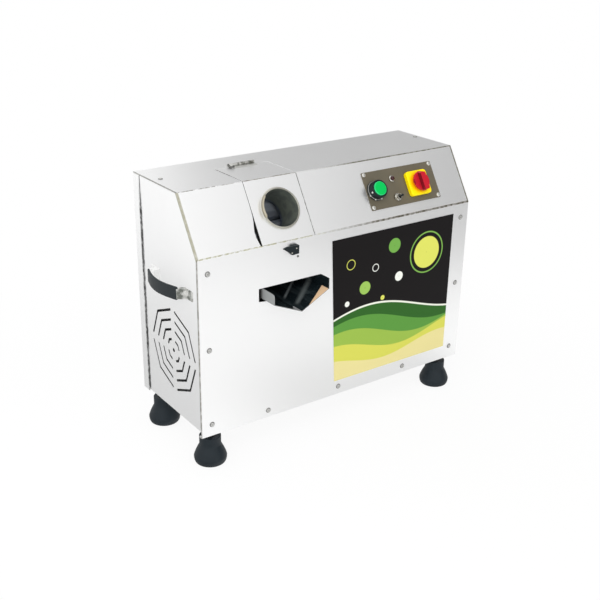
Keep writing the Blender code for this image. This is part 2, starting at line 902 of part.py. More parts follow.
def start_switch():
    """The start button's black body through the plate, and its green cap that travels in."""
    top = plate_face + start_flange_height + start_body_height
    floor = top - start_travel - start_cap_depth
    stem_bore = start_stem_radius + gap
    body = [
        (stem_bore, -start_depth),
        (start_thread_radius, -start_depth),
        (start_thread_radius, plate_face),
        (start_flange_radius, plate_face),
        (start_flange_radius, plate_face + start_flange_height),
        (start_body_radius, plate_face + start_flange_height + start_edge),
        (start_body_radius, top - start_edge),
        (start_body_radius - start_edge, top),
        (start_cap_radius + gap, top),
        (start_cap_radius + gap, floor),
        (stem_bore, floor),
    ]
    place = (start_x, start_up, 0)
    turned("start_button_body", body, black_plastic, slope, place, segments=medium_sides)
    low = floor + start_travel + gap
    high = top + start_cap_proud
    cap = [
        (0, low - 3 * start_travel),
        (start_stem_radius, low - 3 * start_travel),
        (start_stem_radius, low),
        (start_cap_radius, low),
        (start_cap_radius, high - start_edge - gap),
        (start_cap_radius - start_edge, high - gap),
        (0, high),
    ]
    turned("start_button", cap, green_plastic, slope, place, segments=medium_sides)


start_switch()


def pilot_lamp():
    """The small red lamp in its chrome nut."""
    nut_top = plate_face + lamp_nut_height
    top = plate_face + lamp_height
    profile = [
        (0, -lamp_depth),
        (lamp_lens_radius, -lamp_depth),
        (lamp_lens_radius, plate_face),
        (lamp_nut_radius, plate_face),
        (lamp_nut_radius, nut_top),
        (lamp_lens_radius, nut_top),
        (lamp_lens_radius, top - lamp_dome),
        (lamp_lens_radius - lamp_dome / 2, top - lamp_dome / 4),
        (0, top),
    ]
    turned("pilot_lamp", profile, red_lens, slope, (lamp_x, lamp_up, 0), segments=small_sides)


pilot_lamp()


def toggle_switch():
    """The direction switch: a chrome neck and nut, and its tilting lever."""
    neck_bore = toggle_lever_radius + toggle_neck_height * math.tan(toggle_tilt)
    top = plate_face + toggle_neck_height
    pivot = plate_face + toggle_pivot_up
    floor = pivot - toggle_seat
    neck = [
        (0, -toggle_depth),
        (toggle_neck_radius, -toggle_depth),
        (toggle_neck_radius, plate_face),
        (toggle_nut_radius, plate_face),
        (toggle_nut_radius, plate_face + toggle_nut_height),
        (toggle_neck_radius, plate_face + toggle_nut_height),
        (toggle_neck_radius, top),
        (neck_bore, top),
        (neck_bore, floor),
        (0, floor),
    ]
    place = (toggle_x, toggle_up, 0)
    turned("direction_switch_neck", neck, nickel, slope, place, segments=small_sides)
    radius = toggle_lever_radius
    high = toggle_neck_height + toggle_lever_length
    lever = [
        (0, gap - toggle_seat / 2),
        (radius * 0.7, gap - toggle_seat / 2),
        (radius * 0.8, 0),
        (radius * 0.8, toggle_neck_height * 0.7),
        (radius, high - 1.5 * radius),
        (radius * 1.2, high - 0.7 * radius),
        (radius * 0.8, high),
        (0, high),
    ]
    place = (toggle_x, toggle_up, pivot)
    made = turned("direction_switch_lever", lever, black_plastic, slope, place, segments=small_sides)
    made.rotation_euler = (0, toggle_tilt, 0)


toggle_switch()


def isolator():
    """The main switch: yellow base, red rotary knob and the contact block behind the cover."""
    shaft_hole = bore(0, 0, isolator_shaft_radius + gap, small_sides)
    base = rounded_rectangle(isolator_width, isolator_height, isolator_corner)
    place = (isolator_x, isolator_up, 0)
    top = plate_face + isolator_proud
    prism("isolator_base", "Z", plate_face, top, base, yellow_plastic, [shaft_hole], slope, place, True)
    block = rounded_rectangle(isolator_block, isolator_block, isolator_block_corner, 2)
    back = -sheet - gap
    low = back - isolator_block_depth
    prism("isolator_contact_block", "Z", low, back, block, black_plastic, [shaft_hole], slope, place)
    low = top + gap
    disc_low = low + knob_stem
    high = disc_low + knob_disc
    disc = [
        (0, -isolator_shaft_depth),
        (isolator_shaft_radius, -isolator_shaft_depth),
        (isolator_shaft_radius, low),
        (knob_stem_radius, low),
        (knob_stem_radius, disc_low),
        (knob_radius, disc_low),
        (knob_radius, high - knob_edge),
        (knob_radius - knob_edge, high),
        (0, high),
    ]
    knob = turned("isolator_knob", disc, red_plastic, slope, place, segments=medium_sides)
    grip = rounded_rectangle(knob_grip_width, 2 * (knob_radius + knob_grip_over), knob_grip_corner)
    top = high + knob_grip_height
    helper = prism("union_grip", "Z", disc_low + knob_edge, top, grip, None, (), slope, place)
    boolean(knob, helper, "UNION")


isolator()


def strap_point(share, side_shift):
    """A point of the bowed strap: share along it from front to back, shifted across its thickness."""
    y = handle_y + handle_half_length * (2 * share - 1)
    stand = handle_end_stand + handle_bow * math.sin(math.pi * share) + side_shift
    return y, stand


def strap_handle(prefix, side):
    """A bowed rubber strap between two nickel end caps, on one side panel."""
    shares = [i / 12 for i in range(13)]
    outer = [strap_point(share, handle_strap_thickness / 2) for share in shares]
    inner = [strap_point(share, -handle_strap_thickness / 2) for share in reversed(shares)]
    outline = [(side * (half_width + stand), y) for y, stand in outer + inner]
    low = handle_z - handle_strap_width / 2
    prism(prefix + "_handle_strap", "Z", low, low + handle_strap_width, outline, black_rubber, smooth=True)
    for name, sign in (("front", -1), ("rear", 1)):
        end = handle_y + sign * (handle_half_length + gap)
        toe = end + sign * handle_cap_toe
        nose = end + sign * handle_cap_nose
        heel = end - sign * handle_cap_heel
        stand = handle_end_stand
        cap = [
            (toe, gap),
            (toe, gap + handle_cap_toe_height),
            (nose, gap + handle_cap_toe_height),
            (end + sign * handle_cap_lip, stand + handle_cap_lip / 2),
            (end, stand + handle_cap_lip),
            (end, stand - handle_cap_ledge),
            (heel, stand - handle_cap_heel_drop),
            (heel, gap),
        ]
        shape = [(side * (half_width + out), y) for y, out in cap]
        low_cap = handle_z - handle_cap_width / 2
        prism(f"{prefix}_handle_{name}_cap", "Z", low_cap, low_cap + handle_cap_width, shape, nickel)


strap_handle("left", -1)
strap_handle("right", 1)


def foot_curve():
    """The bell's outside, from the table up: a quarter ellipse to the bulge, then a shoulder.

    The shoulder is a cone that is partly a quarter cosine, which rounds it off into the bulge.
    """
    points = []
    for step in range(4):
        angle = math.pi / 2 * step / 3
        radius = foot_base_radius + (foot_bulge_radius - foot_base_radius) * math.sin(angle)
        points.append((radius, -foot_height + foot_bulge_up * (1 - math.cos(angle))))
    for step in range(1, 5):
        cone = 1 - step / 4
        cosine = math.cos(math.pi / 2 * step / 4)
        share = cone + (cosine - cone) * foot_roundness
        radius = foot_neck_radius + (foot_bulge_radius - foot_neck_radius) * share
        points.append((radius, -foot_height + foot_bulge_up + foot_shoulder * step / 4))
    return points


def foot(name, x, y):
    """A bell-shaped rubber foot and the threaded stud that holds it to the base plate."""
    top = -foot_top_drop
    well = stud_nut_radius + stud_well
    deep = top - stud_nut_height
    profile = [(0, -foot_height)] + foot_curve()
    profile += [
        (foot_neck_radius, top - foot_edge),
        (foot_neck_radius - foot_edge, top),
        (well, top),
        (well, deep),
        (0, deep),
    ]
    turned(name, profile, black_rubber, machine, (x, y, 0), segments=foot_sides)
    low = deep + gap
    ring = side_bottom - gap
    end = side_bottom + base_thickness + stud_end
    stud = [
        (0, low),
        (stud_nut_radius, low),
        (stud_nut_radius, low + stud_nut_height),
        (stud_radius, low + stud_nut_height),
        (stud_radius, ring - stud_nut_height),
        (stud_nut_radius, ring - stud_nut_height),
        (stud_nut_radius, ring),
        (stud_radius, ring),
        (stud_radius, end),
        (0, end),
    ]
    turned(name + "_stud", stud, nickel, machine, (x, y, 0), segments=small_sides)


for foot_side, foot_x in (("left", -half_width + foot_inset_x), ("right", half_width - foot_inset_x)):
    foot("foot_front_" + foot_side, foot_x, foot_front_y)
    foot("foot_rear_" + foot_side, foot_x, foot_rear_y)


def cheek_plates():
    """The two cast side frames of the crusher with their bronze bearing plates."""
    low = cheek_bottom_z
    outline = [
        (cheek_front_y, low),
        (cheek_back_y - cheek_waist, low),
        (cheek_back_y - cheek_waist, cheek_waist_low_z),
        (cheek_back_y, cheek_waist_high_z),
        (cheek_back_y, cheek_shoulder_z),
        (cheek_crown_back_y, cheek_top_z),
        (cheek_crown_front_y, cheek_top_z),
        (cheek_front_y, cheek_shoulder_z),
    ]
    open_radius = shaft_radius + cheek_bore_clearance
    axes = (top_axis, feed_axis, discharge_axis)
    loose = [bore(axis.x, axis.y, open_radius, medium_sides) for axis in axes]
    close = [bore(axis.x, axis.y, shaft_radius + journal_clearance, bore_sides) for axis in axes]
    low_y = feed_axis.x - bearing_plate_margin
    high_y = discharge_axis.x + bearing_plate_margin
    low_z = feed_axis.y - bearing_plate_margin
    high_z = top_axis.y + bearing_plate_margin
    inner_y = (top_axis.x - bearing_plate_margin, top_axis.x + bearing_plate_margin)
    shape = [
        (low_y, low_z),
        (high_y, low_z),
        (high_y, discharge_axis.y + bearing_plate_margin),
        (inner_y[1], high_z),
        (inner_y[0], high_z),
        (low_y, feed_axis.y + bearing_plate_margin),
    ]
    for name, x, plate_side in (("left", left_cheek_x, -1), ("right", right_cheek_x, 1)):
        prism(name + "_cheek_plate", "X", x, x + cheek_thickness, outline, cast_iron, loose)
        if plate_side < 0:
            start = x - gap - bearing_plate_thickness
        else:
            start = x + cheek_thickness + gap
        prism(name + "_bearing_plate", "X", start, start + bearing_plate_thickness, shape, bronze, close)


cheek_plates()


def crushing_roller(name, axis, shaft_start, shaft_end):
    """A fluted steel roller with its shaft, about its parent empty on its own axis."""
    pivot = empty(name + "_pivot", machine, (0, axis.x, axis.y))
    count = roller_flutes * 4
    low = crusher_x - roller_length / 2
    high = crusher_x + roller_length / 2
    flute = [roller_radius, roller_radius, roller_radius - flute_depth, roller_radius - flute_depth]
    crown = [flute[i % 4] for i in range(count)]
    shaft = [shaft_radius] * count
    stations = [
        (shaft_start, shaft),
        (low, shaft),
        (low, crown),
        (high, crown),
        (high, shaft),
        (shaft_end, shaft),
    ]
    bm = bmesh.new()
    rings = []
    for x, radii in stations:
        angles = [2 * math.pi * i / count for i in range(count)]
        rings.append([bm.verts.new((x, r * math.cos(t), r * math.sin(t))) for r, t in zip(radii, angles)])
    for ring, following in zip(rings, rings[1:]):
        for i in range(count):
            bm.faces.new((ring[i - 1], ring[i], following[i], following[i - 1]))
    bm.faces.new(rings[0])
    bm.faces.new(rings[-1])
    add_object(name, bm, pivot, (0, 0, 0), roller_steel, True)
    return pivot


shaft_left = left_cheek_x - gap - bearing_plate_thickness - side_play
short_end = gear_x + gear_width
long_end = stand_x + stand_thickness
top_pivot = crushing_roller("top_roller", top_axis, shaft_left, long_end)
feed_pivot = crushing_roller("feed_roller", feed_axis, shaft_left, short_end)
discharge_pivot = crushing_roller("discharge_roller", discharge_axis, shaft_left, short_end)

top_tooth = feed_angle
pitch_radius = roller_pitch / 2
bull_radius = bull_teeth * drive_module / 2
pinion_radius = pinion_teeth * drive_module / 2
feed_tooth = mating_tooth(top_tooth, feed_angle, pitch_radius, pitch_radius, gear_teeth)
discharge_tooth = mating_tooth(top_tooth, discharge_direction, pitch_radius, pitch_radius, gear_teeth)
pinion_tooth = mating_tooth(drive_direction, drive_direction, bull_radius, pinion_radius, pinion_teeth)
spur_gear("top_roller_gear", gear_teeth, gear_module, gear_width, top_tooth, top_pivot, gear_x)
spur_gear("feed_roller_gear", gear_teeth, gear_module, gear_width, feed_tooth, feed_pivot, gear_x)
spur_gear(
    "discharge_roller_gear", gear_teeth, gear_module, gear_width, discharge_tooth, discharge_pivot, gear_x
)
spur_gear("bull_gear", bull_teeth, drive_module, drive_width, drive_direction, top_pivot, bull_x)


def turn_plate():
    """The bar under the top roller that turns the cane from one nip to the next."""
    clear = roller_radius + turn_plate_clearance
    points = []
    for axis, sign, order in ((feed_axis, 1, 1), (discharge_axis, -1, -1)):
        low = math.asin(-turn_plate_down / clear)
        high = math.asin(turn_plate_up / clear)
        shares = [i / 4 for i in range(5)]
        if order < 0:
            shares.reverse()
        for share in shares:
            angle = low + (high - low) * share
            points.append((axis.x + sign * clear * math.cos(angle), axis.y + clear * math.sin(angle)))
    low_x = crusher_x - cheek_gap / 2 + gap
    high_x = crusher_x + cheek_gap / 2 - gap
    prism("turn_plate", "X", low_x, high_x, points, roller_steel)


turn_plate()


def tie_bars():
    """Round bars between the cheeks: one low at the front, one under the tray at the rear."""
    low = crusher_x - cheek_gap / 2 + gap
    high = crusher_x + cheek_gap / 2 - gap
    places = {
        "front_tie_bar": (front_bar_y, front_bar_z),
        "rear_tie_bar": (rear_bar_y, tray_apex_z - 2 * gap - tie_bar_radius),
    }
    profile = [(0, low), (tie_bar_radius, low), (tie_bar_radius, high), (0, high)]
    for name, (y, z) in places.items():
        turned(name, profile, roller_steel, machine, (0, y, z), axis="X", segments=small_sides)


tie_bars()


def tray_half(inset):
    """Half of the tray's end view, from its lip down to its middle, moved in by inset."""
    slant = math.hypot(1, tray_lip_slope)
    side = tray_half_width - inset
    corner = tray_apex_z + inset * slant + tray_lip_slope * side
    return [(side, tray_top_z), (side, corner), (0, tray_apex_z + inset * slant)]


def juice_tray():
    """The sliding V-shaped juice tray whose front end is the spout."""
    outer = tray_half(0)
    inner = tray_half(sheet)
    outline = outer + [(-x, z) for x, z in reversed(outer[:2])]
    outline += [(-x, z) for x, z in inner[:2]] + [inner[2]] + list(reversed(inner[:2]))
    place = (crusher_x, 0, 0)
    tray = prism("juice_tray", "Y", tray_front_y, tray_back_y, outline, stainless, location=place)
    middle = tray_half(sheet / 2)
    wall = middle + [(-x, z) for x, z in reversed(middle[:2])]
    wall = [(x, min(z, tray_top_z - sheet / 2)) for x, z in wall]
    low = tray_back_y - 2 * sheet
    helper = prism("union_tray_end", "Y", low, tray_back_y - sheet, wall, location=place)
    boolean(tray, helper, "UNION")


juice_tray()


def bagasse_chute():
    """The open-topped chute that carries the crushed cane out of the rear window."""
    outer = [
        (chute_start_y, chute_z(chute_start_y, 0)),
        (chute_end_y, chute_z(chute_end_y, 0)),
        (chute_end_y, chute_z(chute_end_y, chute_wall)),
        (chute_start_y, chute_z(chute_start_y, chute_wall)),
    ]
    low = crusher_x - chute_half_width
    high = crusher_x + chute_half_width
    chute = prism("bagasse_chute", "X", low, high, outer, stainless)
    before = chute_start_y - sheet
    after = chute_end_y + sheet
    inner = [
        (before, chute_z(before, sheet)),
        (after, chute_z(after, sheet)),
        (after, chute_z(after, chute_wall + sheet)),
        (before, chute_z(before, chute_wall + sheet)),
    ]
    boolean(chute, prism("cutter_chute_hollow", "X", low + sheet, high - sheet, inner), "DIFFERENCE")


bagasse_chute()


def drive_stand():
    """The plate that carries the outer end of the top shaft and the gear motor."""
    outline = [
        (stand_front_y, cheek_bottom_z),
        (stand_back_y, cheek_bottom_z),
        (stand_back_y, stand_top_z - stand_shoulder),
        (stand_crown_back_y, stand_top_z),
        (stand_crown_y, stand_top_z),
        (stand_front_y, stand_top_z - stand_shoulder),
    ]
    holes = [
        bore(top_axis.x, top_axis.y, shaft_radius + journal_clearance, bore_sides),
        bore(motor_axis.x, motor_axis.y, output_shaft_radius + cheek_bore_clearance, medium_sides),
    ]
    prism("drive_stand", "X", stand_x, stand_x + stand_thickness, outline, cast_iron, holes)


drive_stand()


def drive_pinion():
    """The pinion with its output shaft, on the motor's axis."""
    pivot = empty("drive_pinion_pivot", machine, (0, motor_axis.x, motor_axis.y))
    outline = gear_outline(pinion_teeth, drive_module, pinion_tooth)
    pinion = prism("drive_pinion", "X", bull_x, bull_x + drive_width, outline, cast_iron, parent=pivot)
    start = bull_x + drive_width / 2
    end = motor_x + output_shaft_seat
    profile = [(0, start), (output_shaft_radius, start), (output_shaft_radius, end), (0, end)]
    helper = turned("union_output_shaft", profile, None, pivot, axis="X", segments=medium_sides)
    boolean(pinion, helper, "UNION")


drive_pinion()


def gear_motor():
    """The gear reducer, the finned motor behind it and the fan cover at its end."""
    place = (0, motor_axis.x, motor_axis.y)
    seat_radius = output_shaft_radius + gap
    blind = motor_x + output_shaft_seat + gap
    end = motor_x + reducer_length
    reducer = [
        (seat_radius, motor_x),
        (reducer_radius, motor_x),
        (reducer_radius, end),
        (0, end),
        (0, blind),
        (seat_radius, blind),
    ]
    turned("gear_reducer", reducer, cast_iron, machine, place, axis="X", segments=medium_sides)
    start = end + gap
    stop = start + motor_length
    count = motor_fins * 4
    radii = [motor_radius if i % 4 < 2 else motor_radius - motor_fin_depth for i in range(count)]
    angles = [2 * math.pi * i / count for i in range(count)]
    fins = [(r * math.cos(t), r * math.sin(t)) for r, t in zip(radii, angles)]
    prism("motor_housing", "X", start, stop, fins, motor_paint, parent=machine, location=place)
    near = stop + gap
    far = near + fan_cover_length
    inner = fan_cover_radius - fan_cover_wall
    cover = [
        (inner, near),
        (fan_cover_radius, near),
        (fan_cover_radius, far - fan_cover_edge),
        (fan_cover_radius - fan_cover_edge, far),
        (fan_cover_hole, far),
        (fan_cover_hole, far - fan_cover_wall),
        (inner - fan_cover_edge, far - fan_cover_wall),
        (inner, far - fan_cover_wall - fan_cover_edge),
    ]
    turned("motor_fan_cover", cover, black_plastic, machine, place, axis="X", segments=medium_sides)


gear_motor()


def cable_gland():
    """The gland for the mains lead, through the rear cover."""
    inside = body_depth - sheet - gland_inside
    face = body_depth + gap
    nut_top = face + gland_nut_height
    dome_top = nut_top + gland_dome_height
    tip = dome_top + gland_lip_height
    profile = [
        (gland_bore_radius, inside),
        (gland_thread_radius, inside),
        (gland_thread_radius, face),
        (gland_nut_radius, face),
        (gland_nut_radius, nut_top),
        (gland_dome_radius + gland_lip, nut_top + gland_lip),
        (gland_dome_radius, dome_top),
        (gland_bore_radius + gland_lip, tip),
        (gland_bore_radius, tip),
    ]
    place = (gland_x, 0, gland_z)
    turned("cable_gland", profile, black_plastic, machine, place, axis="Y", segments=small_sides)


cable_gland()
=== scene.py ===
"""Looks of the table-top electric sugarcane juicer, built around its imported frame.

Metres, +Z up, the front faces -Y. The sections follow the machine as it is put together.
"""

import json
import math

import bmesh
import bpy
import numpy as np
from mathutils import Matrix, Vector

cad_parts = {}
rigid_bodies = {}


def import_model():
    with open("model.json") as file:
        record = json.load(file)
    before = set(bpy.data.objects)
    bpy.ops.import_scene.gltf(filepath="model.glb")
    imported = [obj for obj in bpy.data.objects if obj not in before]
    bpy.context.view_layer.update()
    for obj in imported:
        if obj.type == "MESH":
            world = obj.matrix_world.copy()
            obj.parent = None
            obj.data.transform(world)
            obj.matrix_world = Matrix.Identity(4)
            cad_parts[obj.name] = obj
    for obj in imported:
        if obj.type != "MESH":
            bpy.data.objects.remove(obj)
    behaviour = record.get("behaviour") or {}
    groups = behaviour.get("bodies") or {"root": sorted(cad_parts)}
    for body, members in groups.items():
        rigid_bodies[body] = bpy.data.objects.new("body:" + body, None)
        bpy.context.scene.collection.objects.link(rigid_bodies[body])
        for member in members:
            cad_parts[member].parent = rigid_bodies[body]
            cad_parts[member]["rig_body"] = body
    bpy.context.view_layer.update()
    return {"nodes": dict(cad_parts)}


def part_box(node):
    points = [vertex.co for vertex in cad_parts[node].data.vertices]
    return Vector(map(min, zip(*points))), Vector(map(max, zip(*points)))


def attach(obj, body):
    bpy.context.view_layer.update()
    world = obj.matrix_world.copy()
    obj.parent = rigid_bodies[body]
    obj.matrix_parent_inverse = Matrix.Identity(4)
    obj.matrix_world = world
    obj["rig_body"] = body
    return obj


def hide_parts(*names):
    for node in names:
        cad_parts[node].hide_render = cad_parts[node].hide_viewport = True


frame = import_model()
mm = 0.001

# The camera stands to the left of the machine and a little above it, and looks down at it.
# It tilts by under a degree.
camera_turn = math.radians(35.77)
camera_fall = math.radians(22.85)
camera_roll = math.radians(0.9)


def add_object(name, data):
    """A new object, linked into the scene."""
    made = bpy.data.objects.new(name, data)
    bpy.context.scene.collection.objects.link(made)
    return made


camera = add_object("camera", bpy.data.cameras.new("camera"))
camera.data.sensor_width = 36
camera.data.lens = 56.9
looking = Vector((math.sin(camera_turn), math.cos(camera_turn), -math.tan(camera_fall)))
level = looking.to_track_quat("-Z", "Y")
camera.rotation_mode = "QUATERNION"
camera.rotation_quaternion = level @ Matrix.Rotation(camera_roll, 3, "Z").to_quaternion()
camera.location = (-1.0225, -1.388, 0.9529)
bpy.context.scene.camera = camera
bpy.context.scene.view_settings.view_transform = "Standard"

# The studio: a pale floor that keeps the machine's shadow and turns white away from it, in a white room.
# Polished metal finds both a little darker towards the right, the floor by painted shade that only its
# reflection shows; there it also holds a painted shadow close to the machine's left side and front.
floor_half = 6.0
floor_mesh = bpy.data.meshes.new("floor")
floor_corners = [(x * floor_half, y * floor_half, 0) for x, y in ((-1, -1), (1, -1), (1, 1), (-1, 1))]
floor_mesh.from_pydata(floor_corners, [], [(0, 1, 2, 3)])
floor = add_object("floor", floor_mesh)


def feed(node, inputs):
    """Set a node's inputs by name or number: each is a socket to link, a value, or None to leave it."""
    for name, value in inputs.items():
        if isinstance(value, bpy.types.NodeSocket):
            node.id_data.links.new(value, node.inputs[name])
        elif value is not None:
            node.inputs[name].default_value = value


def node_beside(values, kind):
    """A new node in the tree of the first socket among some values."""
    sockets = [value for value in values if isinstance(value, bpy.types.NodeSocket)]
    return sockets[0].id_data.nodes.new(kind)


def math_node(operation, first, second=None, third=None, clamp=False):
    """One math node; each input is a socket or a number."""
    node = node_beside((first, second, third), "ShaderNodeMath")
    node.operation = operation
    node.use_clamp = clamp
    feed(node, {0: first, 1: second, 2: third})
    return node.outputs[0]


def product(first, second, clamp=False):
    """The first value times the second."""
    return math_node("MULTIPLY", first, second, clamp=clamp)


def difference(first, second, clamp=False):
    """The first value less the second."""
    return math_node("SUBTRACT", first, second, clamp=clamp)


def scaled(value, factor, added, clamp=False):
    """A value times a factor, and something added to it."""
    return math_node("MULTIPLY_ADD", value, factor, added, clamp)


def vector_node(operation, first, second=None):
    """One vector math node's result, which is one number for a length, a distance or a dot product."""
    node = node_beside((first, second), "ShaderNodeVectorMath")
    node.operation = operation
    feed(node, {0: first, 1: second})
    return node.outputs["Value" if operation in ("LENGTH", "DISTANCE", "DOT_PRODUCT") else "Vector"]


def split_axes(vector):
    """The x, y and z of a vector."""
    node = node_beside([vector], "ShaderNodeSeparateXYZ")
    feed(node, {0: vector})
    return tuple(node.outputs)


def smooth_step(value, low, high, start=0.0, end=1.0):
    """A smooth change from start to end while the value goes from low to high."""
    node = node_beside([value], "ShaderNodeMapRange")
    node.interpolation_type = "SMOOTHSTEP"
    feed(node, {"Value": value, "From Min": low, "From Max": high, "To Min": start, "To Max": end})
    return node.outputs[0]


def new_material(name):
    """A material with its shader and the piece's own object coordinates."""
    made = bpy.data.materials.new(name)
    made.use_nodes = True
    nodes = made.node_tree.nodes
    return made, nodes["Principled BSDF"], nodes.new("ShaderNodeTexCoord").outputs["Object"]


floor_paint, matt, place = new_material("floor_paint")
nodes = floor_paint.node_tree.nodes
feed(matt, {"Base Color": (0.9, 0.9, 0.9, 1), "Roughness": 0.9, "Specular IOR Level": 0.1})
rays = nodes.new("ShaderNodeLightPath").outputs
seen = math_node("MAXIMUM", rays["Is Camera Ray"], rays["Is Glossy Ray"])
seen = math_node("MAXIMUM", seen, rays["Is Transmission Ray"])
x, y, z = split_axes(place)
far_off = vector_node("LENGTH", place)
white_share = product(seen, smooth_step(far_off, 0.45, 0.95, 0.89, 1.0))
# Painted shade in the floor's reflection: darker to the front right, and a painted shadow near the machine's
# front and left side.
front_right = product(smooth_step(x, 0.43, 0.62), smooth_step(y, -0.85, -0.45, 1.0, 0.0))
painted_shadow_front = product(smooth_step(x, -0.25, 0.05), smooth_step(x, 0.32, 0.45, 1.0, 0.0))
painted_shadow_front = product(painted_shadow_front, smooth_step(y, -0.5, -0.3))
painted_shadow_left = product(smooth_step(x, -0.92, -0.50), smooth_step(x, -0.31, -0.28, 1.0, 0.0))
right_dim = scaled(painted_shadow_front, -0.34, scaled(front_right, -0.64, 1.0))
left_dim = scaled(painted_shadow_left, -0.48, 1.0)
glossy_gain = 0.03
dimmed = difference(1.0 - glossy_gain, product(right_dim, left_dim))
white = nodes.new("ShaderNodeEmission")
feed(white, {"Strength": difference(1.0, product(dimmed, rays["Is Glossy Ray"]))})
both = nodes.new("ShaderNodeMixShader")
feed(both, {0: white_share, 1: matt.outputs[0], 2: white.outputs[0]})
feed(nodes["Material Output"], {"Surface": both.outputs[0]})
floor_mesh.materials.append(floor_paint)

world = bpy.data.worlds.new("studio")
bpy.context.scene.world = world
world.use_nodes = True
nodes = world.node_tree.nodes
x, y, z = split_axes(nodes.new("ShaderNodeTexCoord").outputs["Generated"])
before = smooth_step(x, 0.44, 0.65, 1.12, 0.30)
behind = smooth_step(x, 0.42, 0.49, 0.98, 0.42)
room = scaled(difference(behind, before), smooth_step(y, -0.1, 0.1), before)
camera_ray = nodes.new("ShaderNodeLightPath").outputs["Is Camera Ray"]
strength = math_node("MAXIMUM", room, camera_ray)
feed(nodes["Background"], {"Strength": strength, "Color": (1, 1, 1, 1)})

lamp_data = bpy.data.lights.new("window_lamp", "AREA")
lamp_data.size = 2.0
lamp_data.energy = 36
lamp = add_object("window_lamp", lamp_data)
lamp.location = (-1.6, -1.9, 2.0)
lamp.rotation_mode = "QUATERNION"
lamp.rotation_quaternion = (Vector((0, 0, 0.3)) - lamp.location).to_track_quat("-Z", "Y")
lamp.visible_glossy = False


# The base plate: a stainless sheet with its front and back edges folded up. The feet, the crusher and the
# motor's stand are bolted to it. Its sheet has the mill's grain, as all the cabinet's panels have.
def node_group(name, inputs, outputs):
    """An empty shader group with inputs of named kinds and float outputs, the inputs and its end node."""
    group = bpy.data.node_groups.new(name, "ShaderNodeTree")
    for label, kind in inputs.items():
        group.interface.new_socket(label, in_out="INPUT", socket_type="NodeSocket" + kind)
    for label in outputs:
        group.interface.new_socket(label, in_out="OUTPUT", socket_type="NodeSocketFloat")
    return group, group.nodes.new("NodeGroupInput").outputs, group.nodes.new("NodeGroupOutput")


def grouped(group, inputs):
    """A group node with its inputs set: its outputs."""
    node = node_beside(inputs.values(), "ShaderNodeGroup")
    node.node_tree = group
    feed(node, inputs)
    return node.outputs


def noise_node(vector, scale, detail=3.0, roughness=0.5):
    """One noise texture's grey value."""
    node = node_beside([vector], "ShaderNodeTexNoise")
    feed(node, {"Scale": scale, "Detail": detail, "Roughness": roughness, "Vector": vector})
    return node.outputs[0]


grain_inputs = {"Vector": "Vector", "Stretch": "Vector", "Rough": "Float"}
sheet_grain, taken, given = node_group("sheet_grain", grain_inputs, ("Roughness", "Height", "Tone"))
lines = noise_node(vector_node("MULTIPLY", taken["Vector"], taken["Stretch"]), 600, 3, 0.6)
cloudy = noise_node(taken["Vector"], 7, 2)
tone = math_node("ADD", scaled(lines, 0.08, -0.04), scaled(cloudy, 0.06, -0.03))
total = math_node("ADD", tone, taken["Rough"], clamp=True)
feed(given, {"Roughness": total, "Height": lines, "Tone": tone})

# The seam line mask: it lays stains, and also painted shade and painted highlights, along seams and edges.
stain_inputs = dict.fromkeys(("Vector", "Point", "Across", "Fade"), "Vector")
stain_inputs.update({"Level": "Float", "Breaks": "Float"})
grime_and_painted_light, taken, given = node_group("grime_and_painted_light", stain_inputs, ("Mask",))
away = vector_node("SUBTRACT", taken["Vector"], taken["Point"])
off = vector_node("DOT_PRODUCT", away, taken["Across"])
near = difference(1.0, math_node("ABSOLUTE", off), clamp=True)
fade = vector_node("DOT_PRODUCT", taken["Vector"], taken["Fade"])
fade_level = math_node("ADD", fade, taken["Level"], clamp=True)
patchy = difference(noise_node(taken["Vector"], 130, 2), 0.5)
steep = product(taken["Breaks"], 6.0)
whole = difference(1.0, product(taken["Breaks"], 0.5))
patchy = scaled(patchy, steep, whole, clamp=True)
strong = product(product(near, 2.6, clamp=True), fade_level)
feed(given, {"Mask": product(strong, patchy)})


def mixed_colour(factor, first, second):
    """A mix of two colours, each a socket or three numbers."""
    node = node_beside([factor], "ShaderNodeMix")
    node.data_type = "RGBA"
    paints = [value if isinstance(value, bpy.types.NodeSocket) else (*value, 1) for value in (first, second)]
    feed(node, {"Factor": factor, "A": paints[0], "B": paints[1]})
    return node.outputs["Result"]


def bumped(shader, height, strength, distance):
    """Feed a height to the shader's normal."""
    node = node_beside([height], "ShaderNodeBump")
    feed(node, {"Strength": strength, "Distance": distance, "Height": height})
    feed(shader, {"Normal": node.outputs[0]})


sheet_light = (0.975, 0.977, 0.975)
sheet_dark = (0.945, 0.948, 0.95)


def brushed_steel(name, stretch, rough=0.40, light=sheet_light, dark=sheet_dark, stains_and_painted_light=(), shine=0.85):
    """Brushed steel whose grain runs where the stretch is small, with dull grime, painted shade and painted
    highlights along some lines.
    """
    made, shader, place = new_material(name)
    grain = grouped(sheet_grain, {"Vector": place, "Stretch": stretch, "Rough": rough})
    colour = mixed_colour(scaled(grain["Tone"], 3.0, 0.35, clamp=True), light, dark)
    metallic = shine
    for values, paint in stains_and_painted_light:
        mask = grouped(grime_and_painted_light, {"Vector": place, **values})["Mask"]
        colour = mixed_colour(mask, colour, paint)
        metallic = difference(metallic, mask, clamp=True)
    feed(shader, {"Base Color": colour, "Metallic": metallic, "Roughness": grain["Roughness"]})
    bumped(shader, grain["Height"], 0.02, 0.0002)
    return made


along_x = (0.02, 1, 1)
along_y = (1, 0.02, 1)


def seat(piece, node):
    """A piece takes the place and body of a node."""
    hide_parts(node)
    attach(piece, frame["nodes"][node]["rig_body"])
    return piece


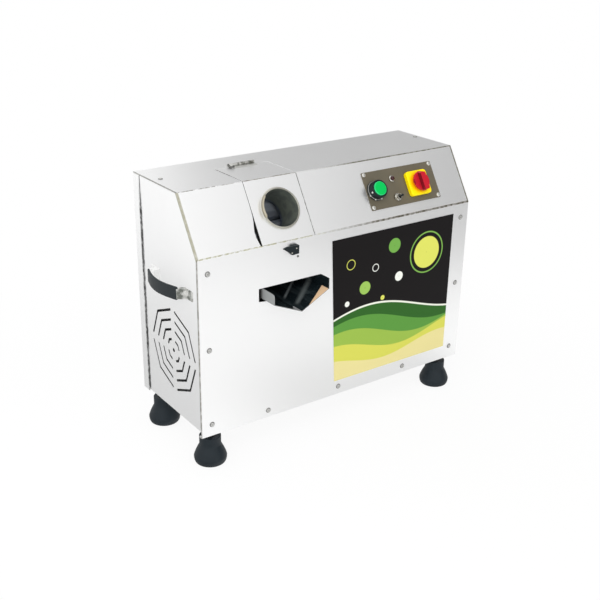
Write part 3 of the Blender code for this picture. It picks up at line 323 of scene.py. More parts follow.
def reshape(mesh, move):
    """Shift a mesh's points: move takes them all as one array and gives them back."""
    places = np.empty(len(mesh.vertices) * 3)
    mesh.vertices.foreach_get("co", places)
    mesh.vertices.foreach_set("co", move(places.reshape(-1, 3)).ravel())
    mesh.update()


def repaint(mesh, finishes, number_at):
    """Give a mesh more finishes: number_at says from a face's middle and normal which one it takes."""
    for finish in finishes:
        mesh.materials.append(finish)
    for face in mesh.polygons:
        face.material_index = int(number_at(face.center, face.normal))


def eased(node, finish, width=0.4, segments=2, cuts=(), corners=None, move=None, inside=None):
    """A merged copy of a node's mesh, its sharp edges rounded and its flat faces kept flat.

    Cuts are planes that split its faces, corners is a test of an edge's middle and a radius, move shifts
    its points, and inside is a second finish with the test of a face's middle and normal that takes it.
    """
    bm = bmesh.new()
    bm.from_mesh(frame["nodes"][node].data)
    bmesh.ops.remove_doubles(bm, verts=bm.verts, dist=1e-6)
    bmesh.ops.dissolve_limit(bm, angle_limit=math.radians(0.5), verts=bm.verts, edges=bm.edges)
    for point, normal in cuts:
        everything = bm.verts[:] + bm.edges[:] + bm.faces[:]
        bmesh.ops.bisect_plane(bm, geom=everything, plane_co=point, plane_no=normal)
    if corners:
        chosen = [edge for edge in bm.edges if corners[0]((edge.verts[0].co + edge.verts[1].co) / 2)]
        bmesh.ops.bevel(bm, geom=chosen, offset=corners[1], segments=6, profile=0.5, affect="EDGES")
    mesh = bpy.data.meshes.new(node + "_piece")
    bm.to_mesh(mesh)
    bm.free()
    if move:
        reshape(mesh, move)
    mesh.shade_smooth()
    mesh.materials.append(finish)
    if inside:
        repaint(mesh, inside[:1], inside[1])
    piece = add_object(node + "_piece", mesh)
    bevel = piece.modifiers.new("broken_edges", "BEVEL")
    bevel.width = width * mm
    bevel.segments = segments
    bevel.limit_method = "ANGLE"
    bevel.angle_limit = math.radians(28)
    flat = piece.modifiers.new("flat_faces", "WEIGHTED_NORMAL")
    flat.weight = 100
    flat.keep_sharp = True
    return seat(piece, node)


eased("base_plate", brushed_steel("base_steel", along_x, 0.38))


# The feet: moulded rubber bells, each on a threaded stud with two nuts under the base plate.
# The mould leaves a dull, slightly dusty skin and a rounded rim round the well of the nut.
def rounded_profile(points, radius, steps=4, lift=0.0):
    """Round the inner corners of an open line of points in mm with arcs, and put it higher by a lift."""
    points = [Vector(point) * mm + Vector((0, lift)) for point in points]
    made = [points[0]]
    for before, corner, after in zip(points, points[1:], points[2:]):
        first = before - corner
        last = after - corner
        reach = min(radius * mm, first.length * 0.45, last.length * 0.45)
        start = corner + first.normalized() * reach
        end = corner + last.normalized() * reach
        for step in range(steps + 1):
            share = step / steps
            made.append(start.lerp(corner, share).lerp(corner.lerp(end, share), share))
    made.append(points[-1])
    return np.array([tuple(point) for point in made])


def add_piece(name, points, faces, finish, smooth_angle=38):
    """Put arrays of points and faces into one object, smooth up to an angle."""
    mesh = bpy.data.meshes.new(name)
    mesh.from_pydata(np.asarray(points).tolist(), [], [list(face) for face in faces])
    mesh.validate()
    bm = bmesh.new()
    bm.from_mesh(mesh)
    bmesh.ops.remove_doubles(bm, verts=bm.verts, dist=1e-7)
    bmesh.ops.recalc_face_normals(bm, faces=bm.faces)
    bm.to_mesh(mesh)
    bm.free()
    mesh.shade_smooth()
    mesh.set_sharp_from_angle(angle=math.radians(smooth_angle))
    mesh.materials.append(finish)
    return add_object(name, mesh)


def grid_faces(rows, columns, round_rows=False, round_columns=True):
    """The quads of a grid of points, closed across its rows or its columns or not."""
    row = np.arange(rows if round_rows else rows - 1)
    column = np.arange(columns if round_columns else columns - 1)
    r, c = np.meshgrid(row, column, indexing="ij")
    next_r = (r + 1) % rows
    next_c = (c + 1) % columns
    quads = [r * columns + c, r * columns + next_c, next_r * columns + next_c, next_r * columns + c]
    return np.stack(quads, -1).reshape(-1, 4)


def ring_points(centre, reach, height, angle, first, second, axis):
    """Points round an axis: reach and height have a row for each ring, for all its angles or one by one."""
    around = np.cos(angle)[:, None] * np.array(first) + np.sin(angle)[:, None] * np.array(second)
    points = np.array(centre) + reach[..., None] * around + height[..., None] * np.array(axis)
    return points.reshape(-1, 3)


def turned(name, profile, finish, origin, axis, closed=False, sides=96, smooth_angle=38):
    """A surface of revolution: each point of the profile is a radius and a height along the axis."""
    axis = Vector(axis).normalized()
    first = axis.orthogonal().normalized()
    angle = np.linspace(0, 2 * math.pi, sides, endpoint=False)
    points = ring_points(origin, profile[:, :1], profile[:, 1:], angle, first, axis.cross(first), axis)
    return add_piece(name, points, grid_faces(len(profile), sides, closed, True), finish, smooth_angle)


def mottled(name, light, dark, blotches, rough, bump, fine=None, band=None, metallic=0.0, gloss=0.5):
    """A skin that goes from a light colour to a dark one with a noise, whose values are its blotches.

    The noise is sharpened to a band of its values or not. Rough is one number, or the share of a noise, the
    fine one or else the blotches, and the least value. Bump is a noise's values, a strength and a distance.
    """
    made, shader, place = new_material(name)
    mottle = noise_node(place, *blotches)
    if band:
        mottle = smooth_step(mottle, *band)
    if isinstance(rough, tuple):
        rough = scaled(noise_node(place, *fine) if fine else mottle, *rough)
    colour = mixed_colour(mottle, light, dark)
    looks = {"Base Color": colour, "Roughness": rough, "Metallic": metallic}
    feed(shader, {**looks, "Specular IOR Level": gloss})
    bumped(shader, noise_node(place, *bump[0]), *bump[1:])
    return made


def moulded_rubber(name, light, dark):
    """Moulded rubber: a dull skin with a fine grain and a little dust."""
    return mottled(name, dark, light, (30, 4), (0.25, 0.36), ((800, 3), 0.12, 0.0003), gloss=0.3)


def foot_profile(low, high):
    """The bell from the table up: a quarter ellipse, a shoulder, a neck and the well for the nut, in mm.

    The shoulder is a cone that is partly a quarter cosine, which rounds it off into the bulge.
    """
    base = 26
    bulge = 30.5
    neck = 20
    bulge_up = 12
    shoulder = 24
    roundness = 0.35
    well = 11
    well_depth = 7
    angle = np.linspace(0, math.pi / 2, 14)
    lower = np.stack([base + (bulge - base) * np.sin(angle), bulge_up * (1 - np.cos(angle))], -1)
    share = np.linspace(0, 1, 20)[1:]
    cone = 1 - share
    swell = cone + (np.cos(math.pi / 2 * share) - cone) * roundness
    upper = np.stack([neck + (bulge - neck) * swell, bulge_up + shoulder * share], -1)
    bell = np.concatenate([[(0, 0)], lower, upper]) * mm + (0, low)
    rim = rounded_profile([(neck, -4), (neck, 0), (well, 0), (well, -well_depth)], 1.4, lift=high)
    return np.concatenate([bell, rim, [(0, high - well_depth * mm)]])


foot_rubber = moulded_rubber("foot_rubber", (0.012, 0.020, 0.026), (0.005, 0.009, 0.013))
# The studs are painted near black, as the shade under the base plate where they show.
stud_steel_painted_shade = brushed_steel("stud_steel_painted_shade", (1, 1, 1), 0.5, (0.10, 0.10, 0.10), (0.05, 0.05, 0.05), shine=0.6)
for corner in ("front_left", "front_right", "rear_left", "rear_right"):
    node = "foot_" + corner
    low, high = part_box(node)
    centre = ((low.x + high.x) / 2, (low.y + high.y) / 2, 0)
    seat(turned(node + "_piece", foot_profile(low.z, high.z), foot_rubber, centre, (0, 0, 1)), node)
    eased(node + "_stud", stud_steel_painted_shade)

# The crusher's frame: two cast iron cheeks with bronze bearing plates, tie bars between them, and the stand
# for the motor. The castings are machined where they meet and oiled elsewhere.
casting_pits = (240, 4, 0.6)
iron = mottled("oiled_casting", (0.055, 0.062, 0.066), (0.10, 0.11, 0.115), (18, 3), (0.35, 0.25),
               (casting_pits, 0.25, 0.0004), fine=casting_pits, metallic=0.7)
bronze = brushed_steel("bearing_bronze", (1, 1, 1), 0.34, (0.52, 0.34, 0.15), (0.40, 0.25, 0.10), shine=1.0)
roller_steel = brushed_steel("roller_steel", along_x, 0.45, (0.46, 0.50, 0.56), (0.28, 0.31, 0.36), shine=0.6)
for node in ("left_cheek_plate", "right_cheek_plate", "drive_stand"):
    eased(node, iron, 0.8)
for node in ("left_bearing_plate", "right_bearing_plate"):
    eased(node, bronze, 0.5)
for node in ("front_tie_bar", "rear_tie_bar"):
    eased(node, roller_steel, 0.3)

# The rollers and their gears: three fluted steel rollers draw the cane in and press it twice, and the turn
# plate leads it from one nip to the next. Cut steel gears couple them outside the right cheek.
for node in ("top_roller", "feed_roller", "discharge_roller", "turn_plate"):
    eased(node, roller_steel, 0.3)
for node in ("top_roller_gear", "feed_roller_gear", "discharge_roller_gear", "bull_gear", "drive_pinion"):
    eased(node, iron, 0.3, 1)


# The gear motor: a reducer in cast iron, a finned motor in blue hammer paint and a moulded cover over the
# fan. It hangs on the stand by the reducer's face.
def coloured_plastic(name, light, dark, rough_low=0.24, gloss=0.4):
    """A moulded or painted skin: its colour varies a little and it has a fine grain."""
    bump = ((1500, 2), 0.06, 0.0002)
    return mottled(name, light, dark, (45, 2), (0.15, rough_low), bump, fine=(300, 2), gloss=gloss)


moulded = coloured_plastic("black_moulding", (0.006, 0.011, 0.013), (0.013, 0.019, 0.022), 0.34, 0.2)
hammer_paint = coloured_plastic("hammer_paint", (0.10, 0.21, 0.36), (0.06, 0.15, 0.28), 0.3)
eased("gear_reducer", iron, 0.8)
eased("motor_housing", hammer_paint, 0.6)
eased("motor_fan_cover", moulded, 0.6)

# The juice tray: a folded stainless trough under the rollers, open at the front where it makes the spout.
# It is dull grey outside, painted near black as shade where it lies behind the panel, and dark inside,
# with painted reflection streaks, two painted bands of sheen on its right wall and a warm painted patch of
# light at its lip. In front of the panel the spout rises a little to the right.
front_low, front_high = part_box("front_panel")
front_y = front_low.y
tray_low, tray_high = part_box("juice_tray")
tray_x = (tray_low.x + tray_high.x) / 2


def stain_and_painted_light_line(point, normal, width, breaks, paint, bare=None, full=None):
    """A mark's inputs and its paint, for stains and painted light alike: a plane over a half width in mm, and
    a fade from bare to full.
    """
    values = {"Point": point, "Across": Vector(normal) / (width * mm), "Level": 1.0, "Breaks": breaks}
    if bare is not None:
        way = Vector(full) - Vector(bare)
        values["Fade"] = way / way.length_squared
        values["Level"] = -values["Fade"].dot(Vector(bare))
    return values, paint


# Painted shade: the outside goes near black where it lies behind the panel.
tray_shade_indoors = stain_and_painted_light_line((0, front_y + 22 * mm, 0), (0, 1, 0), 22, 0.0, (0.012, 0.012, 0.012))
tray_greys = ((0.28, 0.29, 0.29), (0.23, 0.24, 0.24))
tray_outside = brushed_steel("tray_outside", along_y, 0.5, *tray_greys, [tray_shade_indoors], 0.0)
tray_inside, shader, place = new_material("tray_inside")
x, y, z = split_axes(place)
# The streaks mix two dark tones as painted reflections, and also bump the surface.
streaks = noise_node(vector_node("MULTIPLY", place, (1, 0.12, 0.4)), 70, 2)
dark_with_painted_sheen = mixed_colour(smooth_step(streaks, 0.45, 0.62), (0.006, 0.010, 0.012), (0.022, 0.030, 0.033))
sheen_lean = 0.69
sheen_line = scaled(x, -sheen_lean, y)
right_wall = smooth_step(x, tray_x + 3 * mm, tray_x + 12 * mm)
# Two painted bands of sheen on the right wall.
for reach, half_width, paint in ((69, 11, (0.10, 0.115, 0.115)), (108, 6, (0.19, 0.21, 0.215))):
    off_line = math_node("ABSOLUTE", difference(sheen_line, front_y + reach * mm))
    sheen = product(smooth_step(off_line, 0, half_width * mm, 1.0, 0.0), right_wall)
    dark_with_painted_sheen = mixed_colour(sheen, dark_with_painted_sheen, paint)
# A warm painted patch of light on the right half of the lip, in front of the panel.
gleam_back = front_y - 15.5 * mm
gleam_slope = 0.469
gleam_line = scaled(x, gleam_slope, gleam_back - gleam_slope * (tray_high.x - mm))
gleam = smooth_step(difference(gleam_line, y), -0.3 * mm, 0.3 * mm)
gleam = product(gleam, smooth_step(x, tray_x + 6 * mm, tray_x + 9 * mm))
right_lip = smooth_step(x, tray_high.x - 2.2 * mm, tray_high.x - 1.8 * mm, 1.0, 0.0)
gleam = product(gleam, right_lip)
feed(shader, {"Base Color": mixed_colour(gleam, dark_with_painted_sheen, (0.64, 0.44, 0.27))})
feed(shader, {"Roughness": scaled(gleam, 0.35, 0.16), "Specular IOR Level": 0.15})
bumped(shader, streaks, 0.2, 0.0006)
lip_rise = 5.5 * mm
rise_start = 1 * mm
rise_end = 12 * mm


def tray_lip_corner(middle):
    """Whether an edge is the left wall's upper front corner."""
    return middle.y < tray_low.y + 0.5 * mm and middle.z > tray_high.z - 0.5 * mm and middle.x < tray_x


def in_tray(middle, normal):
    """Whether a face looks into the tray: at its centre line from a wall, or up from its floor."""
    return normal.dot(Vector((tray_x, middle.y, tray_high.z + 40 * mm)) - middle) > 0 and abs(normal.y) < 0.5


def raised_lip(points):
    """Lift the spout towards its right, outside the panel: not at its face, and in full 12 mm before it."""
    share = (points[:, 0] - tray_low.x) / (tray_high.x - tray_low.x)
    before = np.clip((front_y - rise_start - points[:, 1]) / (rise_end - rise_start), 0, 1)
    points[:, 2] += lip_rise * share * before
    return points


lip_bends = [((0, front_y - reach, 0), (0, 1, 0)) for reach in (rise_start, rise_end)]
tray = eased("juice_tray", tray_outside, 0.3, cuts=lip_bends, corners=(tray_lip_corner, 6 * mm),
             move=raised_lip, inside=(tray_inside, in_tray))
tray.visible_glossy = False

# The bagasse chute: folded sheet under the window of the rear cover. It slopes down, so that the crushed
# cane slides out.
eased("bagasse_chute", brushed_steel("chute_steel", along_y, 0.3), 0.4)

# The front panel: a stainless sheet with its bottom edge folded back and the spout's opening cut in it.
# Grime and tan polish stay along its seams, dark to the right and broken to the left.
seam_z = front_high.z
top_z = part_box("top_cover")[1].z
left_x = front_low.x
right_x = front_high.x
bottom_z = front_low.z
grey_grime = (0.20, 0.195, 0.175)
brown_grime = (0.075, 0.060, 0.035)
tan_polish = (0.46, 0.45, 0.32)
at_seam = (0, front_y, seam_z)
seam_normal = (0, 0.287, 1)
seam_right = stain_and_painted_light_line(at_seam, seam_normal, 2.7, 0.25, brown_grime, (-0.07, 0, 0), (0.08, 0, 0))
seam_left = stain_and_painted_light_line(at_seam, seam_normal, 1.8, 0.8, tan_polish, (0, 0, 0), (-0.12, 0, 0))
front_corner = stain_and_painted_light_line((left_x, 0, 0), (1, 0, 0), 1.8, 0.2, grey_grime)
front_stains = [seam_right, seam_left, front_corner]
eased("front_panel", brushed_steel("front_steel", along_x, 0.35, stains_and_painted_light=front_stains))

# The side panels: folded sheets behind the front and under the top, with four rings of pressed vents.
# The left one shows in full, and the handles are bolted through both. Polish has dried along its slope.
top_points = [vert.co.y for vert in frame["nodes"]["top_cover"].data.vertices if vert.co.z > top_z - 1e-5]
bend_y = min(top_points)
slope_up = Vector((0, bend_y - front_y, top_z - seam_z)).normalized()
slope_out = Vector((0, -slope_up.z, slope_up.y))
slope_origin = Vector((0, front_y, seam_z))
slope_length = math.hypot(bend_y - front_y, top_z - seam_z)
slope_foot = np.array(slope_origin)
up_way = np.array(slope_up)
out_way = np.array(slope_out)
gap_shadow_paint = (0.05, 0.05, 0.048)
dried_polish = (0.34, 0.33, 0.25)
side_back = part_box("left_side_panel")[1].y
side_front = stain_and_painted_light_line((0, front_y, 0), (0, 1, 0), 3.4, 0.15, grey_grime)
# A painted shadow of the gap to the rear cover along the side's back edge, full low down and fading out
# above.
side_rear = stain_and_painted_light_line((0, side_back, 0), (0, 1, 0), 5.0, 0.3, gap_shadow_paint, (0, 0, 0.50), (0, 0, 0.44))
side_slope = stain_and_painted_light_line(slope_origin, slope_out, 4.6, 0.10, dried_polish)
side_stains_and_shade = [side_front, side_slope, side_rear]
eased("left_side_panel", brushed_steel("left_steel", along_y, 0.38, stains_and_painted_light=side_stains_and_shade), 0.3)
eased("right_side_panel", brushed_steel("right_steel", along_y, 0.38), 0.3)

# The rear cover: the back sheet, folded round both sides, with a window for the chute. The gland for the
# mains lead is a moulded nut with a rounded dome.
rear_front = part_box("rear_cover")[0].y
# The same painted gap shadow along the rear cover's front edge.
rear_seam = stain_and_painted_light_line((0, rear_front, 0), (0, 1, 0), 4.0, 0.3, gap_shadow_paint, (0, 0, 0.50), (0, 0, 0.44))
eased("rear_cover", brushed_steel("rear_steel", along_x, 0.38, stains_and_painted_light=[rear_seam]))
eased("cable_gland", moulded, 0.5, 3)

# The top cover: one sheet bent over the slope, notched for the lid. The cut beside the lid is uneven, so
# the gap opens to a dark wedge low on its left. Its cut edge shows tan along the slope's left end.
lid_low, lid_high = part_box("feed_lid")
wedge_width = 6.4 * mm
wedge_middle = 0.19
wedge_spread = 0.18
wedge_end = 0.97
wedge_fade = 0.3
notch_reach = 2 * mm
wedge_shares = np.linspace(0.06, 0.94, 12)
wedge_cuts = [(slope_origin + slope_up * slope_length * share, slope_up) for share in wedge_shares]


def uneven_notch(points):
    """Move the notch's left edge out by a bell curve of the share up the slope, but not past its bend."""
    share = (points - slope_foot) @ up_way / slope_length
    beside = (np.abs(points[:, 0] - lid_low.x) < notch_reach) & (share < wedge_end)
    bell = np.exp(-((share - wedge_middle) / wedge_spread) ** 2)
    bell *= np.clip((wedge_end - share) / wedge_fade, 0, 1)
    points[:, 0] -= np.where(beside, wedge_width * bell, 0)
    return points


shaded_light = (0.05, 0.05, 0.045)
shaded_steel = brushed_steel("shaded_steel", along_y, 0.6, shaded_light, (0.03, 0.03, 0.028), shine=0.5)


def in_the_gap(middle, normal):
    """Whether a face stands in the gap on the lid's left, or is the sheet's underside."""
    below = normal.z < -0.5 or normal.dot(slope_out) < -0.5
    return below or (abs(middle.x - lid_low.x) < 9 * mm and abs(normal.x) > 0.8)


at_bend = (0, bend_y, top_z)
bend_normal = (0, 1, 0.554)
olive_grime = (0.105, 0.099, 0.070)
under_top = (0, 0, top_z - mm)
on_top = (0, 0, top_z)
bend_right = stain_and_painted_light_line(at_bend, bend_normal, 2.5, 0.15, olive_grime, (-0.07, 0, 0), (0.06, 0, 0))
bend_left = stain_and_painted_light_line(at_bend, bend_normal, 1.5, 0.8, grey_grime, (-0.10, 0, 0), (-0.26, 0, 0))
slope_left = stain_and_painted_light_line((left_x, 0, 0), (1, 0, 0), 4.6, 0.10, dried_polish, on_top, under_top)
# A painted shadow of the gap between the top and the side panel, along the top's left edge.
top_left_gap_shadow = stain_and_painted_light_line((left_x, 0, 0), (1, 0, 0), 2.4, 0.15, (0.11, 0.11, 0.10), under_top, on_top)
slope_right = stain_and_painted_light_line((right_x, 0, 0), (1, 0, 0), 4.2, 0.10, olive_grime, on_top, under_top)
cover_stains_and_shade = [seam_right, seam_left, bend_right, bend_left, slope_left, top_left_gap_shadow, slope_right]
eased("top_cover", brushed_steel("cover_steel", along_x, 0.30, stains_and_painted_light=cover_stains_and_shade), 0.4,
      cuts=wedge_cuts, move=uneven_notch, inside=(shaded_steel, in_the_gap))

# The lid: a folded sheet over the rollers that hinges at its back, with a hole for the feed tube.
# Its right and back edges have painted highlights on top, and thin lines of grime lie in the gaps round its
# slope.
painted_edge_highlight = (0.97, 0.98, 0.98)
mid_top = (0, bend_y + 45 * mm, 0)
near_bend = (0, bend_y + 20 * mm, 0)
lid_bend = stain_and_painted_light_line(at_bend, bend_normal, 1.5, 0.3, (0.15, 0.135, 0.105))
lid_foot = stain_and_painted_light_line(at_seam, seam_normal, 1.6, 0.75, tan_polish)
lid_right = stain_and_painted_light_line((lid_high.x, 0, 0), (1, 0, 0), 1.0, 0.6, olive_grime, on_top, under_top)
lid_left = stain_and_painted_light_line((lid_low.x, 0, 0), (1, 0, 0), 1.3, 0.3, grey_grime, near_bend, mid_top)
lid_stains_and_highlights = [lid_bend, lid_foot, lid_right, lid_left]
# Painted highlights along the lid's right and back edges on top.
lid_stains_and_highlights.append(stain_and_painted_light_line((lid_high.x, 0, 0), (1, 0, 0), 1.9, 0.1, painted_edge_highlight, under_top, on_top))
lid_stains_and_highlights.append(stain_and_painted_light_line((0, lid_high.y, 0), (0, 1, 0), 2.2, 0.1, painted_edge_highlight))
lid_steel = brushed_steel("lid_steel", along_x, 0.30, stains_and_painted_light=lid_stains_and_highlights)
eased("feed_lid", lid_steel, inside=(shaded_steel, in_the_gap))

# The feed tube: a drawn stainless tube with a double rolled lip, dull, dark and mottled inside, with painted
# shade deepening to dark navy towards its far end.
# It is welded into the lid, and the weld's ripples stand round it as a ring. Its radii and heights are
# in mm, as a rounded profile takes them.
tube_finish = brushed_steel("tube_steel", (1, 1, 1), 0.34, (0.66, 0.65, 0.58), (0.28, 0.27, 0.21), shine=0.9)
tab_finish = brushed_steel("tab_steel", (1, 1, 1), 0.40, (0.56, 0.52, 0.42), (0.34, 0.31, 0.22), shine=0.6)
collar_finish = brushed_steel("collar_steel", (1, 1, 1), 0.36, (0.88, 0.88, 0.84), (0.66, 0.66, 0.60))
tube_outer = 36
tube_bore = 34.2
tube_lip = 37.25
tube_proud = 5.0
tube_depth = 60
tab_lift = 5.0 * mm
tab_middle = math.radians(167)
tab_full = math.cos(math.radians(29))
tab_edge = math.cos(math.radians(33))
tab_end = math.cos(math.radians(36))


def slope_place(node):
    """Where the middle of a node's box lies across the slope and up it."""
    low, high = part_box(node)
    middle = (low + high) / 2
    return middle.x, (Vector((0, middle.y, middle.z)) - slope_origin).dot(slope_up)


def on_slope(x, up, out):
    """A point from its place across the slope, up it and out of it."""
    return slope_origin + Vector((x, 0, 0)) + slope_up * up + slope_out * out


tube_x, tube_up = slope_place("feed_ring")
tube_place = on_slope(tube_x, tube_up, 0)
tube_inside, shader, place = new_material("mottled_bore_with_shade")
bore_end = tube_place.dot(slope_out) - tube_depth * mm
along_bore = vector_node("DOT_PRODUCT", place, slope_out)
mottle = noise_node(place, 60, 3)
patches = smooth_step(mottle, 0.4, 0.6)
# Painted shade: the bore goes dark navy towards its far end, deep in the tube.
shaded_far_end = mixed_colour(patches, (0.024, 0.032, 0.050), (0.075, 0.095, 0.130))
near_end = mixed_colour(patches, (0.105, 0.118, 0.098), (0.074, 0.084, 0.074))
colour = mixed_colour(smooth_step(along_bore, bore_end, bore_end + 12 * mm), shaded_far_end, near_end)
feed(shader, {"Base Color": colour, "Roughness": scaled(mottle, 0.3, 0.3)})
lip_profile = rounded_profile([
    (tube_bore, -tube_depth), (tube_outer, -tube_depth), (tube_outer, tube_proud - 2.2),
    (tube_lip, tube_proud - 1.8), (tube_lip, tube_proud - 0.9), (tube_outer - 0.4, tube_proud - 0.7),
    (tube_outer - 0.6, tube_proud), (tube_bore + 0.5, tube_proud), (tube_bore, tube_proud - 2),
    (tube_bore, -tube_depth),
], 0.6, 3)
tube = turned("feed_tube_piece", lip_profile[:-1], tube_finish, tube_place, slope_out, True, 96, 50)


def from_axis(point, foot, axis):
    """How far a point is from the axis through a foot, and how high it is along it."""
    height = (point - foot).dot(axis)
    return (point - foot - axis * height).length, height


def beyond(foot, axis, reach):
    """A test for repaint: whether a face is farther than a reach from an axis."""
    return lambda middle, normal: from_axis(middle, foot, axis)[0] > reach


def tube_number(middle, normal):
    """1 in the bore, 3 on the tab, 2 on the collar under the lip, and 0 on the lip."""
    reach, height = from_axis(middle, tube_place, slope_out)
    turn = math.atan2((middle - tube_place).dot(slope_up), middle.x - tube_place.x)
    if reach < (tube_bore + 0.2) * mm:
        return 1
    if math.cos(turn - tab_middle) > tab_edge:
        return 3
    return 2 if height < (tube_proud - 1.6) * mm else 0


def drawn_mouth(points):
    """Spread the mouth sideways by 5%, and lift it round its left: in full within 29 degrees, not past 36."""
    from_centre = points - np.array(tube_place)
    raised = np.clip(from_centre @ out_way / (tube_proud * mm), 0, 1)
    turn = np.arctan2(from_centre @ up_way, from_centre[:, 0])
    near_tab = (np.cos(turn - tab_middle) - tab_end) / (tab_full - tab_end)
    lift = tab_lift * np.clip(near_tab, 0, 1) * raised
    sideways = 0.05 * from_centre[:, 0] * raised
    return points + lift[:, None] * out_way + sideways[:, None] * np.array((1, 0, 0))


repaint(tube.data, (tube_inside, collar_finish, tab_finish), tube_number)
reshape(tube.data, drawn_mouth)
seat(tube, "feed_tube")

weld_finish = brushed_steel("weld_steel", (1, 1, 1), 0.42, (0.90, 0.89, 0.85), (0.62, 0.61, 0.56), shine=0.9)
angle = np.linspace(0, 2 * math.pi, 160, endpoint=False)
section = np.linspace(0, 2 * math.pi, 12, endpoint=False)[:, None]
bead = 1.0 * mm + 0.15 * mm * np.sin(angle * 46)
weld_reach = (tube_outer + 1.8) * mm + np.cos(section) * bead * 1.4
weld_height = 1.3 * mm + np.sin(section) * bead * 0.85
weld_points = ring_points(tube_place, weld_reach, weld_height, angle, (1, 0, 0), slope_up, slope_out)
seat(add_piece("feed_ring_piece", weld_points, grid_faces(12, 160, True, True), weld_finish), "feed_ring")

# The lid's hinge: two dull nickel leaves on a pin, with a round domed nut at its left end.
# The leaves are screwed to the cover and to the lid.
pin_low, pin_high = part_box("lid_hinge_pin")
pin_y = (pin_low.y + pin_high.y) / 2
worn_start = (pin_low.x + 4 * mm, 0, 0)
worn_end = (pin_low.x + 22 * mm, 0, 0)
worn_paint = (0.07, 0.07, 0.055)
worn_pin = stain_and_painted_light_line((0, pin_y - mm, 0), (0, 1, 0), 3.4, 0.55, worn_paint, worn_start, worn_end)
hinge_paints = ((0.84, 0.84, 0.81), (0.66, 0.66, 0.63))
hinge_nickel = brushed_steel("hinge_nickel", along_x, 0.36, *hinge_paints, [worn_pin])
for part in ("lid_hinge_fixed_leaf", "lid_hinge_moving_leaf"):
    eased(part, hinge_nickel, 0.2)
pin_steel = brushed_steel("pin_steel", along_x, 0.32, (0.22, 0.22, 0.21), (0.10, 0.10, 0.09), shine=1.0)
eased("lid_hinge_pin", pin_steel, 0.4, 3)
hinge_nut_profile = rounded_profile(
    [(0, 0.9), (5.4, 0.9), (5.4, 3.0), (4.0, 4.4), (3.2, 4.0), (2.6, 4.6), (0, 5.0)], 0.8,
)
hinge_nut_place = Vector((-149.4 * mm, front_y + 148.4 * mm, top_z))
nut_crown = 2.9 * mm
upright = Vector((0, 0, 1))
hinge_nut = turned("lid_hinge_nut", hinge_nut_profile, pin_steel, hinge_nut_place, upright, sides=40)
repaint(hinge_nut.data, [hinge_nickel],
        lambda middle, normal: from_axis(middle, hinge_nut_place, upright)[0] < nut_crown)


def fasten(piece, body):
    """Let a small nickel fastener ride on a body."""
    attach(piece, body)


fasten(hinge_nut, "lid")

# The lid switch: a moulded box screwed to the front under the lid, with the lever that the lid presses.
# The lever has two bright rivets, and a small dark dome beside it on the panel stands in for the shade in a
# rivet hole.
nickel = mottled("warm_nickel", (0.70, 0.69, 0.62), (0.42, 0.41, 0.36), (55, 4), (0.22, 0.16),
                 ((420, 3), 0.06, 0.0003), metallic=1.0)
eased("lid_switch_body", moulded, 0.6, 3)
switch_low, switch_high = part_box("lid_switch_lever")
heel = 5 * mm


def square_heel(points):
    """Bring the points near the lever's right end out to it, which squares its corners."""
    points[:, 0] = np.where(points[:, 0] > switch_high.x - heel, switch_high.x, points[:, 0])
    return points


eased("lid_switch_lever", moulded, 0.9, 4, move=square_heel).visible_glossy = False
rivet_profile = rounded_profile([(0, -0.4), (1.5, -0.4), (1.3, 0.3), (0, 0.6)], 0.3)
for number, (x, z) in enumerate([(-124.7, 385.7), (-115.2, 392.7)]):
    spot = (x * mm, switch_low.y, z * mm)
    rivet = turned(f"lid_switch_rivet_{number + 1}", rivet_profile, nickel, spot, (0, -1, 0), sides=20)
    fasten(rivet, "lid_switch_lever")
# A small dark dome stands in for the shade in a rivet hole beside the lever.
hole_shade_profile = rounded_profile([(0, -0.3), (2.2, -0.3), (2.0, 0.8), (0, 1.2)], 0.4)
hole_shade_place = (-105.7 * mm, front_y, 373.1 * mm)
fasten(turned("lid_switch_hole_shade", hole_shade_profile, pin_steel, hole_shade_place, (0, -1, 0), sides=24), "root")

# The printed film on the front: a thin printed sheet glued to the panel. It has a generic pattern of leaf
# green and lime waves and rings on black.
film_low, film_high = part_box("graphic_panel")
film, shader, place = new_material("printed_film")
x, y, z = split_axes(place)
film_wide = film_high.x - film_low.x
across = math_node("DIVIDE", difference(x, film_low.x), film_wide)
up = math_node("DIVIDE", difference(z, film_low.z), film_wide)


def wave_below(rise, swing, turns, shift, soft=0.004):
    """A mask of the film's part below a sine wave: 1 below it, 0 above it."""
    wave = math_node("SINE", scaled(across, turns * 2 * math.pi, shift))
    height = scaled(wave, swing, rise)
    return math_node("DIVIDE", difference(height, up), soft, clamp=True)


def ring_mask(centre_across, centre_up, radius, thick, soft=0.003):
    """A mask of one ring, or of a disc where the ring is as thick as its radius."""
    sideways = difference(across, centre_across)
    upwards = difference(up, centre_up)
    square = scaled(sideways, sideways, product(upwards, upwards))
    off = difference(math_node("SQRT", square), radius - thick / 2)
    inner = difference(thick / 2, math_node("ABSOLUTE", off))
    return math_node("DIVIDE", inner, soft, clamp=True)


